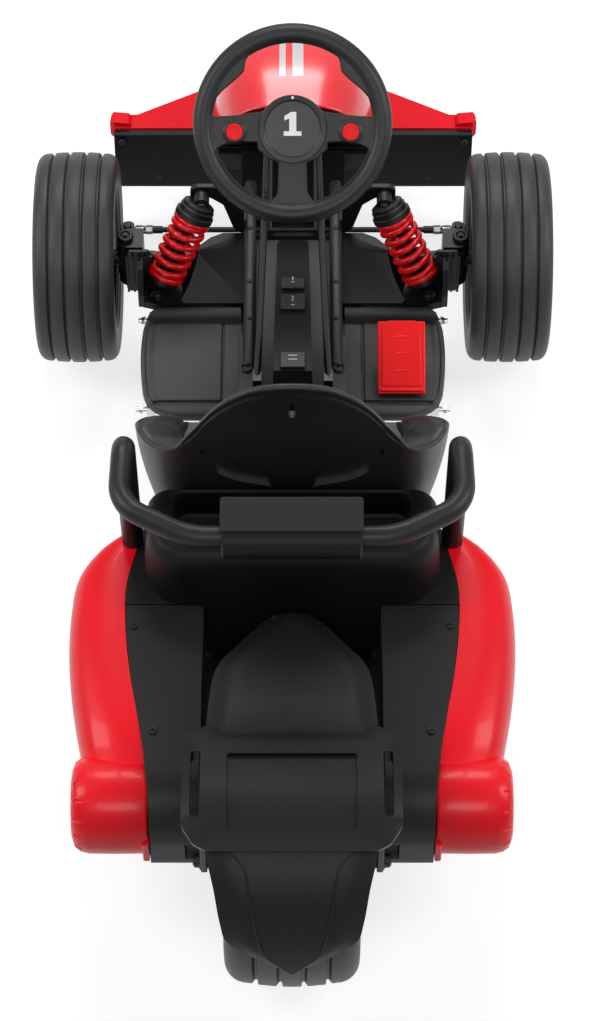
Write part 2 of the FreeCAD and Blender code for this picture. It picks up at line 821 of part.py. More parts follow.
def tray_rods():
    """Two threaded rods under the trays, with the tabs that hold the trays up."""
    z = pan_bottom - joint_gap - rod_radius
    reach = tray_outer + rod_overhang
    rods = []
    for y in (tray_rear_y + 28.0, tray_front_y - 4.0):
        pieces = [rod(V(-reach, y, z), V(reach, y, z), rod_radius)]
        for x in (-tray_outer + 10.0, tray_outer - 22.0):
            pieces.append(box(x, x + 12.0, y - 7.0, y + 7.0, z - 6.0, floor_z - joint_gap))
        rods.append(joined(pieces))
    return group(rods)


def pedal():
    step = pedal_thickness
    return prism(((pedal_rear_y, pedal_rear_z, 0.0), (pedal_front_y, pedal_front_z, 0.0),
                  (pedal_front_y - 3.0, pedal_front_z + step, 2.0),
                  (pedal_rear_y - 3.0, pedal_rear_z + step, 2.0)),
                 side(pedal_x - pedal_half_width), V(pedal_half_width * 2.0, 0, 0))


def pedal_base():
    half = pedal_half_width - 11.0
    rise = (pedal_front_z - pedal_rear_z) / (pedal_front_y - pedal_rear_y)
    near = pedal_rear_y + 6.0
    far = pedal_front_y - 10.0
    near_z = pedal_rear_z + rise * (near - pedal_rear_y) - joint_gap
    far_z = pedal_rear_z + rise * (far - pedal_rear_y) - joint_gap
    floor = floor_z + tray_floor
    return prism(sharp([(near, floor), (far, floor), (far, far_z), (near, near_z)]), side(pedal_x - half),
                 V(half * 2.0, 0, 0))


# Seat

def seat_shell():
    """Moulded bucket: an outer tub less an inner tub, trimmed to its front and side outlines."""
    outer = []
    inner = []
    for z, rear_half, front_half, rear_y, corner in seat_stations:
        outer.append(outline(((-rear_half, rear_y, corner), (rear_half, rear_y, corner),
                              (front_half, seat_front_y, 40.0), (-front_half, seat_front_y, 40.0)), plan(z)))
        wall = seat_wall
        level = z
        if z == seat_base_top:
            wall = seat_wall * 2.2
            level = z + seat_wall
        bend = corner - seat_wall + 4.0
        inner.append(outline(((-rear_half + wall, rear_y + wall, bend),
                              (rear_half - wall, rear_y + wall, bend),
                              (front_half - wall, seat_front_y + 50.0, 20.0),
                              (-front_half + wall, seat_front_y + 50.0, 20.0)), plan(level)))
    tub = Part.makeLoft(outer, True, False).cut(Part.makeLoft(inner, True, False))
    left = [(-x, z, radius) for x, z, radius in reversed(seat_front_view)]
    front_view = prism(list(seat_front_view) + left, front(-200.0), V(0, 400, 0))
    base = seat_base_top - 1.0
    side_view = prism(((-180.0, base, 0.0), (seat_front_y + 3.0, base, 0.0),
                       (seat_front_y - 4.0, 215.0, 12.0),
                       (60.0, 252.0, 30.0), (0.0, 330.0, 40.0), (-40.0, 404.0, 20.0), (-82.0, 416.0, 20.0),
                       (-92.0, 600.0, 0.0), (-180.0, 600.0, 0.0)), side(-220.0), V(440, 0, 0))
    return tub.common(front_view).common(side_view)


def seat_base():
    half = seat_base_half_width
    return prism(((-half, shelf_front_y, 0.0), (half, shelf_front_y, 0.0), (half, seat_base_front_y, 20.0),
                  (-half, seat_base_front_y, 20.0)), plan(floor_z), V(0, 0, seat_base_top - floor_z))


def charge_socket():
    x = seat_base_half_width
    drum = rod(V(x, socket_y, socket_z), V(x + socket_depth, socket_y, socket_z), socket_radius)
    bore = rod(V(x + 2.0, socket_y, socket_z), V(x + socket_depth + 1.0, socket_y, socket_z), socket_bore)
    return drum.cut(bore)


def battery_box():
    return box(-95.0, 95.0, shelf_rear_y + 22.0, shelf_front_y - 12.0, floor_z, floor_z + 95.0)


# Rear body

def deck_half_width(y):
    """Half width of the deck at y, along the straight runs between the flank stations."""
    for ahead, behind in zip(flank_stations, flank_stations[1:]):
        if behind[0] <= y <= ahead[0]:
            share = (ahead[0] - y) / (ahead[0] - behind[0])
            return ahead[1] + share * (behind[1] - ahead[1])
    return flank_stations[-1][1]


def bar_socket():
    foot = V(bar_leg_x, bar_foot_y, bar_foot_z)
    knee = V(bar_leg_x, bar_leg_y, bar_top_z)
    return rod(foot, knee, bar_radius)


def seat_shelf():
    """Hollow housing behind the seat: a low box between the flanks and a raised back with a recess."""
    rows = [row for row in flank_stations if row[0] > shelf_rear_y]
    right = [(row[1], row[0]) for row in rows] + [(deck_half_width(shelf_rear_y), shelf_rear_y)]
    left = [(-x, y) for x, y in reversed(right)]
    low = prism(sharp(right + left), plan(floor_z), V(0, 0, deck_top - floor_z))
    half = housing_half_width
    front_line = shelf_front_y - 3.0
    high = housing_top - housing_recess_z
    tower = prism(((-half, front_line, 4.0), (half, front_line, 4.0), (half, shelf_rear_y, 44.0),
                   (-half, shelf_rear_y, 44.0)), plan(deck_top - 1.0), V(0, 0, housing_top - deck_top + 1.0))
    flare = 0.07
    sides = prism(sharp([(-half, deck_top - 2.0), (half, deck_top - 2.0),
                         (half - 100.0 * flare, housing_top + 1.0),
                         (-half + 100.0 * flare, housing_top + 1.0)]), front(-300.0), V(0, 300, 0))
    back = prism(sharp([(shelf_rear_y, deck_top - 2.0), (front_line + 1.0, deck_top - 2.0),
                        (front_line + 1.0, housing_top + 1.0), (shelf_rear_y + 10.0, housing_top + 1.0)]),
                 side(-250.0), V(500, 0, 0))
    reach = housing_recess_half
    recess = prism(((-reach, front_line + 20.0, 0.0), (reach, front_line + 20.0, 0.0),
                    (reach - 16.0, shelf_rear_y + 28.0, 50.0), (-reach + 16.0, shelf_rear_y + 28.0, 50.0)),
                   plan(housing_recess_z), V(0, 0, high + 1.0))
    tower = tower.common(sides).common(back).cut(recess)
    wall = shelf_wall
    room = box(-160.0, 160.0, shelf_rear_y + wall + 14.0, shelf_front_y - wall - 3.0, floor_z - 1.0,
               housing_recess_z - wall)
    solid = joined([low, tower]).cut(room)
    return solid.cut(bar_socket()).cut(mirrored(bar_socket()))


def side_deck():
    rows = [row for row in flank_stations if row[0] < shelf_rear_y]
    inner = bracket_outer
    edge = [(deck_half_width(shelf_rear_y), shelf_rear_y)] + [(row[1], row[0]) for row in rows]
    tail = (flank_stations[-1][1] - 2.0, deck_rear_y)
    solid = prism(sharp([(inner, shelf_rear_y)] + edge + [tail, (inner, deck_rear_y)]), plan(deck_bottom),
                  V(0, 0, deck_top - deck_bottom))
    profile = prism(((shelf_rear_y, deck_bottom, 0.0), (shelf_rear_y, deck_top, 0.0),
                     (deck_rear_y, deck_top, deck_roll_radius), (deck_rear_y, deck_bottom, 20.0)),
                    side(0.0), V(300, 0, 0))
    axle = rear_centre()
    pocket = rod(V(inner - 1.0, axle.y, axle.z), V(inner + 20.0, axle.y, axle.z), nut_radius + 5.0)
    return solid.common(profile).cut(pocket)


def pod_section(row):
    y, inner, outer, top, low = row
    upper = min(36.0, 0.42 * (top - low))
    lower = min(44.0, 0.42 * (top - low))
    return outline(((inner, low, 0.0), (outer, low, lower), (outer, top, upper), (inner, top, 0.0)),
                   front(y))


def side_pod():
    """Bulging flank panel that ends in a round motor housing."""
    body = Part.makeLoft([pod_section(row) for row in flank_stations], True, True)
    start = 186.0
    drum = Part.makeCylinder(motor_radius, motor_outer_x - start, V(start, motor_y, motor_z), V(1, 0, 0))
    rims = [edge for edge in drum.Edges if edge.BoundBox.XMin > motor_outer_x - 1.0]
    drum = drum.makeFillet(14.0, rims)
    drum = largest(drum.common(box(100.0, 400.0, -700.0, 0.0, 0.0, 400.0).cut(side_deck())))
    return joined([body, drum]).cut(bar_socket())


def hood_band(inner, outer, start, end, x0, x1):
    """Part of a drum about the rear axle between two angles measured up from straight ahead."""
    centre = rear_centre()
    mid = math.radians((start + end) / 2.0)
    points = []
    for angle, radius in ((start, outer), (end, outer), (end, inner), (start, inner)):
        turn = math.radians(angle)
        points.append(V(x0, centre.y + radius * math.cos(turn), centre.z + radius * math.sin(turn)))
    crest = V(x0, centre.y + outer * math.cos(mid), centre.z + outer * math.sin(mid))
    hollow = V(x0, centre.y + inner * math.cos(mid), centre.z + inner * math.sin(mid))
    edges = [Part.Arc(points[0], crest, points[1]).toShape(), Part.makeLine(points[1], points[2]),
             Part.Arc(points[2], hollow, points[3]).toShape(), Part.makeLine(points[3], points[0])]
    return Part.Face(Part.Wire(edges)).extrude(V(x1 - x0, 0, 0))


def wheel_bracket():
    """Plate between deck and fender that holds the axle, with a slotted ear round the fender."""
    x = well_half_width
    axle = rear_centre()
    web = prism(((-440.0, 128.0, 10.0), (-556.0, 136.0, 20.0), (-581.0, 150.0, 20.0), (-584.0, 230.0, 10.0),
                 (-604.0, 290.0, 18.0), (-478.0, 320.0, 14.0), (-440.0, 250.0, 10.0)), side(x),
                V(bracket_plate, 0, 0))
    low = fender_radius - 14.0
    high = fender_radius + fender_wall + saddle_height
    ear = hood_band(low, high, 44.0, 114.0, x, x + ear_reach)
    slot = hood_band(low - 20.0, high + 5.0, 67.0, 99.0, x + bracket_plate, x + ear_reach - 8.0)
    outer_bar = hood_band(high - 9.0, high + 5.0, 67.0, 99.0, x + ear_reach - 9.0, x + ear_reach + 1.0)
    hole = rod(V(x - 1.0, axle.y, axle.z), V(x + 40.0, axle.y, axle.z), rear_axle_radius + bearing_clearance)
    return joined([web, ear]).cut(slot).cut(outer_bar).cut(hole)


def fender_profile(radius, tip_drop):
    """Side outline of one face of the fender: a round hood and a straight tongue."""
    centre = rear_centre()
    tip_y = fender_tip_y - centre.y
    tip_z = fender_tip_z - tip_drop - centre.z
    reach = math.hypot(tip_y, tip_z)
    touch = math.atan2(tip_z, tip_y) + math.acos(radius / reach)
    end = math.radians(176.0)
    points = []
    for angle in (touch, (touch + end) / 2.0, end):
        points.append(V(0, centre.y + radius * math.cos(angle), centre.z + radius * math.sin(angle)))
    return V(0, fender_tip_y, fender_tip_z - tip_drop), points


def rear_fender():
    """Hood over the rear wheel with a raised saddle, trimmed to the outline seen from above."""
    outer_tip, outer_points = fender_profile(fender_radius + fender_wall, 0.0)
    inner_tip, inner_points = fender_profile(fender_radius, fender_wall)
    edges = [
        Part.makeLine(outer_tip, outer_points[0]),
        Part.Arc(outer_points[0], outer_points[1], outer_points[2]).toShape(),
        Part.makeLine(outer_points[2], inner_points[2]),
        Part.Arc(inner_points[2], inner_points[1], inner_points[0]).toShape(),
        Part.makeLine(inner_points[0], inner_tip),
        Part.makeLine(inner_tip, outer_tip),
    ]
    half = well_half_width - joint_gap
    hood = Part.Face(Part.Wire(edges)).extrude(V(half * 2.0, 0, 0))
    hood.translate(V(-half, 0, 0))
    elevation = math.radians(view_elevation)
    rise = V(0, math.sin(elevation), math.cos(elevation))
    sight = V(0, math.cos(elevation), -math.sin(elevation))
    centre = rear_centre()

    def place(u, v):
        return centre.add(V(u, 0, 0)).add(V(rise).multiply(v))

    right = [(width, up) for up, width in fender_trim]
    left = [(-width, up) for up, width in reversed(fender_trim)]
    cutter = Part.Face(outline(sharp(right + left), place))
    cutter.translate(V(sight).multiply(-400.0))
    hood = hood.common(cutter.extrude(V(sight).multiply(800.0)))
    skin = fender_radius + fender_wall
    saddle = hood_band(skin - 1.0, skin + saddle_height, 44.0, 114.0, -half, half)
    sides = hood_band(fender_radius, skin + saddle_height, 44.0, 114.0, half - 12.0, half)
    pocket = hood_band(skin, skin + 10.0, 66.0, 104.0, -80.0, 80.0)
    return joined([hood, saddle, sides, mirrored(sides)]).cut(pocket)


# Roll bar and its pad

def roll_bar():
    legs = V(bar_leg_x, bar_foot_y, bar_foot_z)
    half = (
        (V(bar_leg_x, bar_leg_y, bar_top_z), 34.0),
        (V(bar_leg_x + 3.0, bar_rear_y + 47.0, bar_top_z), 50.0),
        (V(bar_leg_x - 82.0, bar_rear_y, bar_top_z), 110.0),
    )
    corners = [(legs, 0.0)] + list(half)
    corners += [(V(-point.x, point.y, point.z), radius) for point, radius in reversed(corners)]
    edges = []
    last = legs
    for index in range(1, len(corners) - 1):
        here, radius = corners[index]
        back = corners[index - 1][0].sub(here).normalize()
        ahead = corners[index + 1][0].sub(here).normalize()
        entry, middle, leave = rounded(here, back, ahead, radius)
        edges.append(Part.makeLine(last, entry))
        edges.append(Part.Arc(entry, middle, leave).toShape())
        last = leave
    edges.append(Part.makeLine(last, corners[-1][0]))
    first = half[0][0].sub(legs)
    circle = Part.Wire([Part.makeCircle(bar_radius, legs, first)])
    return Part.Wire(edges).makePipeShell([circle], True, False)


def bar_pad():
    z = bar_top_z
    y = bar_rear_y
    profile = ((y - 18.0, z - 16.0, 8.0), (y + 12.0, z - 22.0, 4.0), (y + 17.0, z + 6.0, 0.0),
               (y + 42.0, z + 20.0, 3.0), (y + 38.0, z + 28.0, 3.0), (y - 4.0, z + 18.0, 8.0),
               (y - 18.0, z + 10.0, 8.0))
    sleeve = prism(profile, side(-pad_half_width), V(pad_half_width * 2.0, 0, 0))
    reach = pad_half_width + 1.0
    return sleeve.cut(rod(V(-reach, y, z), V(reach, y, z), bar_radius + bearing_clearance))


# Front body

def nose_section(y, half, top, low, crown):
    return Part.Wire([
        Part.makeLine(V(-half, y, low), V(half, y, low)),
        Part.makeLine(V(half, y, low), V(half, y, top - crown)),
        Part.Arc(V(half, y, top - crown), V(0, y, top), V(-half, y, top - crown)).toShape(),
        Part.makeLine(V(-half, y, top - crown), V(-half, y, low)),
    ])


def nose_cowl():
    """Hollow nose cowl with a mouth at the back for the steering column."""
    outer = []
    inner = []
    for share, half, top, crown in nose_stations:
        y = wing_rear_y + share * wing_depth
        outer.append(nose_section(y, half, top, nose_bottom, crown))
        inner.append(nose_section(y - nose_wall * 1.2, half - nose_wall, top - nose_wall,
                                  nose_bottom - 1.0, crown))
    shell = Part.makeLoft(outer, True, False).cut(Part.makeLoft(inner, True, False))
    rear = wing_rear_y + nose_stations[0][0] * wing_depth
    half = column_radius + 9.0
    mouth = box(-half, half, rear - 10.0, rear + 26.0, 200.0, 330.0)
    slope = prism(((rear - 20.0, 100.0, 0.0), (rear - 20.0, 279.0, 0.0), (rear, 279.0, 0.0),
                   (wing_rear_y, nose_bottom, 0.0), (wing_rear_y, 100.0, 0.0)), side(-200.0), V(400.0, 0, 0))
    return shell.cut(mouth).cut(slope)


def front_wing():
    wide = wing_half_width
    rear = wing_rear_y
    corners = ((0.0, rear, 0.0), (wide - 10.0, rear, 6.0), (wide, rear + 10.0, 6.0),
               (wide - 8.0, rear + 24.0, 8.0),
               (wide - 42.0, rear + 26.0, 12.0), (128.0, nose_front_y, 20.0), (0.0, nose_front_y, 0.0))
    right = prism(corners, plan(wing_bottom), V(0, 0, wing_top - wing_bottom))
    hump = prism(((wide - 34.0, wing_top, 0.0), (wide - 2.0, wing_top, 0.0),
                  (wide - 4.0, wing_top + 11.0, 4.0),
                  (wide - 30.0, wing_top + 8.0, 4.0)), front(rear + 2.0), V(0, 20.0, 0))
    keep = prism(corners, plan(wing_bottom), V(0, 0, 60.0))
    right = joined([right, hump.common(keep)])
    return joined([right, mirrored(right)])


def wing_board():
    """Back board below the wing, leaning forward to its top edge, on a beam from the subframe."""
    top_y = wing_rear_y - joint_gap
    top = wing_top - 2.0
    lean = 18.0
    right = prism(((top_y - board_thickness, top, 2.0), (top_y, top, 2.0), (top_y - lean, board_bottom, 4.0),
                   (top_y - lean - board_thickness, board_bottom, 4.0)), side(0.0),
                   V(wing_half_width - 8.0, 0, 0))
    beam = box(-beam_half_width, beam_half_width, subframe_front_y, wing_rear_y + 44.0, pan_bottom,
               wing_bottom - joint_gap)
    behind = box(-300.0, 300.0, subframe_front_y - 100.0, subframe_front_y, 0.0, 200.0)
    return joined([right, mirrored(right), beam]).cut(behind)


def build():
    solids = {
        "floor_pan": floor_pan(),
        "chassis_spine": chassis_spine(),
        "spine_rails": spine_rails(),
        "front_subframe": front_subframe(),
        "console": console(),
        "console_switches": console_switches(),
        "column_mount": column_mount(),
        "column_struts": column_struts(),
        "column_foot": column_foot(),
        "nose_cowl": nose_cowl(),
        "front_wing": front_wing(),
        "wing_board": wing_board(),
        "tray_rods": tray_rods(),
        "pedal": pedal(),
        "pedal_base": pedal_base(),
        "seat_shell": seat_shell(),
        "seat_base": seat_base(),
        "seat_shelf": seat_shelf(),
        "battery_box": battery_box(),
        "charge_socket": charge_socket(),
        "roll_bar": roll_bar(),
        "bar_pad": bar_pad(),
        "rear_fender": rear_fender(),
        "rear_axle": rear_axle(),
        "rear_tyre": tyre(rear_tyre_radius, rear_tyre_width, rear_shoulder, rear_sidewall, rear_centre()),
        "rear_rim": rear_rim(),
        "steering_rim": steering_rim(),
        "steering_hub": steering_hub(),
        "steering_buttons": steering_buttons(),
        "steering_column": steering_column(),
        "track_rod": track_rod(),
    }
    pairs = {
        "front_tyre": tyre(front_tyre_radius, front_tyre_width, front_shoulder, front_sidewall,
                           front_centre()),
        "front_rim": front_rim(),
        "front_cap": front_cap(),
        "knuckle": knuckle(),
        "lower_arm": lower_arm(),
        "damper": damper(),
        "spring": spring(),
        "damper_tower": damper_tower(),
        "front_shroud": front_shroud(),
        "foot_tray": foot_tray(),
        "side_deck": side_deck(),
        "side_pod": side_pod(),
        "wheel_bracket": wheel_bracket(),
    }
    for name, shape in pairs.items():
        solids[name + "_right"] = shape
        solids[name + "_left"] = mirrored(shape)
    return solids


for node, shape in build().items():
    shape.exportStep("parts/" + node + ".step")
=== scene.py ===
import json
import math

import bmesh
import bpy
from mathutils import Matrix, Vector


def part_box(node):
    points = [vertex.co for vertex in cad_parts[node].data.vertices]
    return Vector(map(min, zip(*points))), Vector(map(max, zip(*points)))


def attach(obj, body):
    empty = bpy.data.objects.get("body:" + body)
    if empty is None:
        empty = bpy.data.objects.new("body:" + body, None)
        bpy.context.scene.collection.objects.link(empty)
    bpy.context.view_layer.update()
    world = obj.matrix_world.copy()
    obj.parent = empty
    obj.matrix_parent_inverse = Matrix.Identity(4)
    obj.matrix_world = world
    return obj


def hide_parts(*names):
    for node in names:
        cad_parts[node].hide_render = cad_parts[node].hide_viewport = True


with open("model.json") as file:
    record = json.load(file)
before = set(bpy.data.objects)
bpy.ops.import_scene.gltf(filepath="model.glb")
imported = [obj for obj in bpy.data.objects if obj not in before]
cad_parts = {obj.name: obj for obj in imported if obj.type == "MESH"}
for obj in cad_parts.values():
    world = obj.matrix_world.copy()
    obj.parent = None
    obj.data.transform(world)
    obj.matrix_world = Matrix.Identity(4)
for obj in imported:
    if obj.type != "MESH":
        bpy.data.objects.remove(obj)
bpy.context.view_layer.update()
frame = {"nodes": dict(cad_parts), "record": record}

# The camera stands behind the kart and looks down on it at 57 degrees, as for a catalogue picture.
# Its distance and lens come from the photograph: the kart fills nearly the whole height of it.
sight_target = Vector((0.010, -0.057, 0.200))
sight_elevation = math.radians(57.0)
sight_distance = 4.215
camera_data = bpy.data.cameras.new("catalogue_camera")
camera_data.sensor_width = 36.0
camera_data.lens = 111.0
camera = bpy.data.objects.new("catalogue_camera", camera_data)
bpy.context.scene.collection.objects.link(camera)
camera.location = sight_target + sight_distance * Vector(
    (0.0, -math.cos(sight_elevation), math.sin(sight_elevation)))
camera.rotation_euler = (math.radians(90.0) - sight_elevation, 0.0, 0.0)
bpy.context.scene.camera = camera

# The studio is a white plaster bowl round the kart, closed by a lid six metres up, with soft lamps
# above and beside the kart. The bowl shows white to the camera and in gloss, and keeps soft shadows.


def new_material(name):
    """Empty node material with its surface shader."""
    material = bpy.data.materials.new(name)
    material.use_nodes = True
    tree = material.node_tree
    return material, tree, tree.nodes["Principled BSDF"]


def feed(tree, value, target):
    """Link the target socket to another node's output, or give it its own value."""
    if isinstance(value, bpy.types.NodeSocket):
        tree.links.new(value, target)
    else:
        target.default_value = value


def reckoned(tree, operation, *values):
    """Result of a math node on numbers and other nodes' outputs."""
    node = tree.nodes.new("ShaderNodeMath")
    node.operation = operation
    for value, target in zip(values, node.inputs):
        feed(tree, value, target)
    return node.outputs[0]


def background_share(tree):
    """One where the camera, a reflection or a transparent ray looks at the background."""
    rays = tree.nodes.new("ShaderNodeLightPath").outputs
    seen = reckoned(tree, "MAXIMUM", rays["Is Camera Ray"], rays["Is Glossy Ray"])
    return reckoned(tree, "MAXIMUM", seen, rays["Is Transmission Ray"])


def mesh_of(mould, name):
    """Named mesh out of a finished mould."""
    mesh = bpy.data.meshes.new(name)
    mould.to_mesh(mesh)
    mould.free()
    return mesh


def shaded(mesh, degrees=32.0):
    """Smooth faces, with hard edges where two faces meet at more than the given angle."""
    mesh.polygons.foreach_set("use_smooth", [True] * len(mesh.polygons))
    mesh.set_sharp_from_angle(angle=math.radians(degrees))
    return mesh


def turned_mesh(name, profile, steps=48):
    """Solid of revolution about Z through (radius, height) points, closed at both ends."""
    mould = bmesh.new()
    rings = []
    for radius, height in profile:
        if radius < 0.00001:
            rings.append([mould.verts.new((0.0, 0.0, height))])
            continue
        turns = [2.0 * math.pi * step / steps for step in range(steps)]
        rings.append([mould.verts.new((radius * math.cos(turn), radius * math.sin(turn), height))
                      for turn in turns])
    for low, high in zip(rings, rings[1:]):
        for step in range(steps):
            following = (step + 1) % steps
            corners = [low[step % len(low)], low[following % len(low)],
                       high[following % len(high)], high[step % len(high)]]
            distinct = list(dict.fromkeys(corners))
            if len(distinct) > 2:
                mould.faces.new(distinct)
    for end, flip in ((rings[0], True), (rings[-1], False)):
        if len(end) > 1:
            mould.faces.new(end[::-1] if flip else end)
    return shaded(mesh_of(mould, name))


# Points of the bowl: distance from the middle, height
sweep_mesh = turned_mesh("studio_sweep", ((13.9, 6.0), (13.9, -0.3), (0.0, -0.3), (0.0, -0.001),
                                          (9.6, -0.001), (10.8, 0.10), (12.0, 0.55), (13.0, 1.60),
                                          (13.5, 3.20), (13.7, 6.0)), 96)
sweep = bpy.data.objects.new("studio_sweep", sweep_mesh)
bpy.context.scene.collection.objects.link(sweep)
sweep_white, sweep_tree, sweep_shader = new_material("sweep_white")
sweep_shader.inputs["Base Color"].default_value = (0.45, 0.45, 0.45, 1.0)
sweep_shader.inputs["Roughness"].default_value = 0.9
sweep_shader.inputs["Specular IOR Level"].default_value = 0.0
sweep_shader.inputs["Emission Color"].default_value = (1.0, 1.0, 1.0, 1.0)
feed(sweep_tree, reckoned(sweep_tree, "MULTIPLY", background_share(sweep_tree), 0.74),
     sweep_shader.inputs["Emission Strength"])
sweep_mesh.materials.append(sweep_white)

world = bpy.data.worlds.new("studio_air")
bpy.context.scene.world = world
world.use_nodes = True
world_ground = world.node_tree.nodes["Background"]
world_ground.inputs["Color"].default_value = (1.0, 1.0, 1.0, 1.0)
world_ground.inputs["Strength"].default_value = 0.35
bpy.context.scene.view_settings.view_transform = "Standard"

# Rows: place, what it faces, width, height, power
for number, (place, faces, wide, high, power) in enumerate((
        ((0.0, 2.5, 3.0), (0.0, 0.2, 0.2), 2.2, 1.2, 64.0),
        ((-2.6, 0.0, 2.4), (0.0, -0.1, 0.2), 1.0, 2.4, 52.0),
        ((2.6, 0.0, 2.4), (0.0, -0.1, 0.2), 1.0, 2.4, 52.0),
        ((0.0, -2.4, 3.2), (0.0, -0.2, 0.2), 2.0, 1.0, 34.0))):
    lamp_data = bpy.data.lights.new("softbox_%d" % number, "AREA")
    lamp_data.shape = "RECTANGLE"
    lamp_data.size = wide
    lamp_data.size_y = high
    lamp_data.energy = power
    lamp = bpy.data.objects.new("softbox_%d" % number, lamp_data)
    bpy.context.scene.collection.objects.link(lamp)
    lamp.location = place
    lamp.rotation_euler = (Vector(faces) - Vector(place)).to_track_quat("-Z", "Y").to_euler()

# Welded and bolted steel frame: floor pan, spine, front subframe, lower arms, damper towers,
# axle plates and column bearings. Pressed and cut sheet with rolled edges, powder coated satin black.
solids = frame["nodes"]
body_of = {node: body for body, members in frame["record"]["behaviour"]["bodies"].items() for node in members}
slot_of = {row["node"]: row["material_slot"] for row in frame["record"]["subparts"]}


def noise(tree, place, scale, detail):
    """Share from zero to one that wanders over the surface."""
    node = tree.nodes.new("ShaderNodeTexNoise")
    node.inputs["Scale"].default_value = scale
    node.inputs["Detail"].default_value = detail
    tree.links.new(place, node.inputs["Vector"])
    return node.outputs["Fac"]


def spread(tree, value, least, most, start=0.0, end=1.0):
    """The value's run from start to end spread from least to most."""
    node = tree.nodes.new("ShaderNodeMapRange")
    for entry, setting in (("Value", value), ("From Min", start), ("From Max", end), ("To Min", least),
                           ("To Max", most)):
        feed(tree, setting, node.inputs[entry])
    return node.outputs["Result"]


def mixed(tree, share, first, second):
    """Colour between the first and the second, by the share."""
    node = tree.nodes.new("ShaderNodeMix")
    node.data_type = "RGBA"
    for entry, value in ((0, share), (6, first), (7, second)):
        feed(tree, value, node.inputs[entry])
    return node.outputs[2]


def black(level):
    """Black pigment of the given depth, a touch cool."""
    return (level, level, level + 0.0005)


def finish_of(name, dark, light, rough, grain, depth, patch=9.0, coat=0.0, metal=0.0, edge=0.0, mirror=0.5):
    """Surface with slow colour drift, fine grain in colour and relief, uneven gloss and paler worn edges."""
    material, tree, shader = new_material(name)
    place = tree.nodes.new("ShaderNodeTexCoord").outputs["Object"]
    drift = noise(tree, place, patch, 5.0)
    speck = noise(tree, place, grain, 3.0)
    share = reckoned(tree, "MULTIPLY_ADD", drift, 0.7, reckoned(tree, "MULTIPLY", speck, 0.3))
    colour = mixed(tree, share, (*dark, 1.0), (*light, 1.0))
    if edge > 0.0:
        pointed = tree.nodes.new("ShaderNodeNewGeometry").outputs["Pointiness"]
        rubbed = tuple(min(1.0, 3.0 * part + 0.02) for part in light) + (1.0,)
        colour = mixed(tree, spread(tree, pointed, 0.0, edge, 0.52, 0.62), colour, rubbed)
    feed(tree, colour, shader.inputs["Base Color"])
    feed(tree, spread(tree, drift, max(0.03, rough - 0.07), rough + 0.07), shader.inputs["Roughness"])
    relief = tree.nodes.new("ShaderNodeBump")
    relief.inputs["Strength"].default_value = 0.6
    relief.inputs["Distance"].default_value = depth
    feed(tree, speck, relief.inputs["Height"])
    feed(tree, relief.outputs["Normal"], shader.inputs["Normal"])
    shader.inputs["Metallic"].default_value = metal
    shader.inputs["Specular IOR Level"].default_value = mirror
    if coat > 0.0:
        shader.inputs["Coat Weight"].default_value = coat
        shader.inputs["Coat Roughness"].default_value = 0.06
    return material


def add_piece(name, mesh, material, body, slot, *replaced):
    """Put a new piece in the scene, on its body, with its finish."""
    piece = bpy.data.objects.new(name, mesh)
    bpy.context.scene.collection.objects.link(piece)
    mesh.materials.clear()
    mesh.materials.append(material)
    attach(piece, body)
    if replaced:
        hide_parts(*replaced)
    return piece


def softened(piece, width, segments=3, degrees=32.0):
    """Round the piece's sharp edges, as a press or a mould leaves them."""
    roll = piece.modifiers.new("rolled_edge", "BEVEL")
    roll.width = width
    roll.segments = segments
    roll.limit_method = "ANGLE"
    roll.angle_limit = math.radians(degrees)
    return roll


def rolled_edges(node, material, edge):
    """The frame's own solid with its sharp edges rolled over, as it comes from press or mould."""
    mould = bmesh.new()
    mould.from_mesh(solids[node].data)
    bmesh.ops.remove_doubles(mould, verts=mould.verts, dist=0.00002)
    bmesh.ops.dissolve_limit(mould, angle_limit=math.radians(1.5), verts=mould.verts, edges=mould.edges)
    mould.verts.ensure_lookup_table()
    mould.verts.index_update()
    mesh = bpy.data.meshes.new(node + "_dressed")
    mesh.from_pydata([vert.co.copy() for vert in mould.verts], [],
                     [[vert.index for vert in face.verts] for face in mould.faces])
    mould.free()
    piece = add_piece(mesh.name, shaded(mesh, 38.0), material, body_of[node], slot_of[node], node)
    softened(piece, edge, degrees=38.0).harden_normals = True


frame_coat = finish_of("frame_coat", black(0.0045), black(0.009), rough=0.42, grain=420.0,
                       depth=0.00015, edge=0.18, mirror=0.28)
for node in ("floor_pan", "chassis_spine", "front_subframe", "column_mount", "column_foot"):
    rolled_edges(node, frame_coat, 0.0015)
rolled_edges("track_rod", frame_coat, 0.0006)
strut_enamel = finish_of("strut_enamel", black(0.004), black(0.008), rough=0.30, grain=400.0,
                         depth=0.00004, mirror=0.40)
rolled_edges("column_struts", strut_enamel, 0.0006)
for side in ("left", "right"):
    for node in ("lower_arm_", "damper_tower_"):
        rolled_edges(node + side, frame_coat, 0.0015)
    for node in ("knuckle_", "damper_"):
        rolled_edges(node + side, frame_coat, 0.0010)

bright_steel = finish_of("bright_steel", (0.55, 0.55, 0.56), (0.72, 0.72, 0.73), rough=0.24,
                         grain=900.0, depth=0.00005, patch=40.0, metal=1.0)
for node in ("steering_column", "tray_rods"):
    rolled_edges(node, bright_steel, 0.0006)

# Bolts and nuts that hold the frame together: hexagon heads on washers, blackened on the frame
# and zinc plated on the tray rods. Only the head, the washer and the thread end show.


def merged(name, meshes):
    """One mesh out of several."""
    mould = bmesh.new()
    for part in meshes:
        mould.from_mesh(part)
    mesh = mesh_of(mould, name)
    mesh.set_sharp_from_angle(angle=math.radians(32.0))
    return mesh


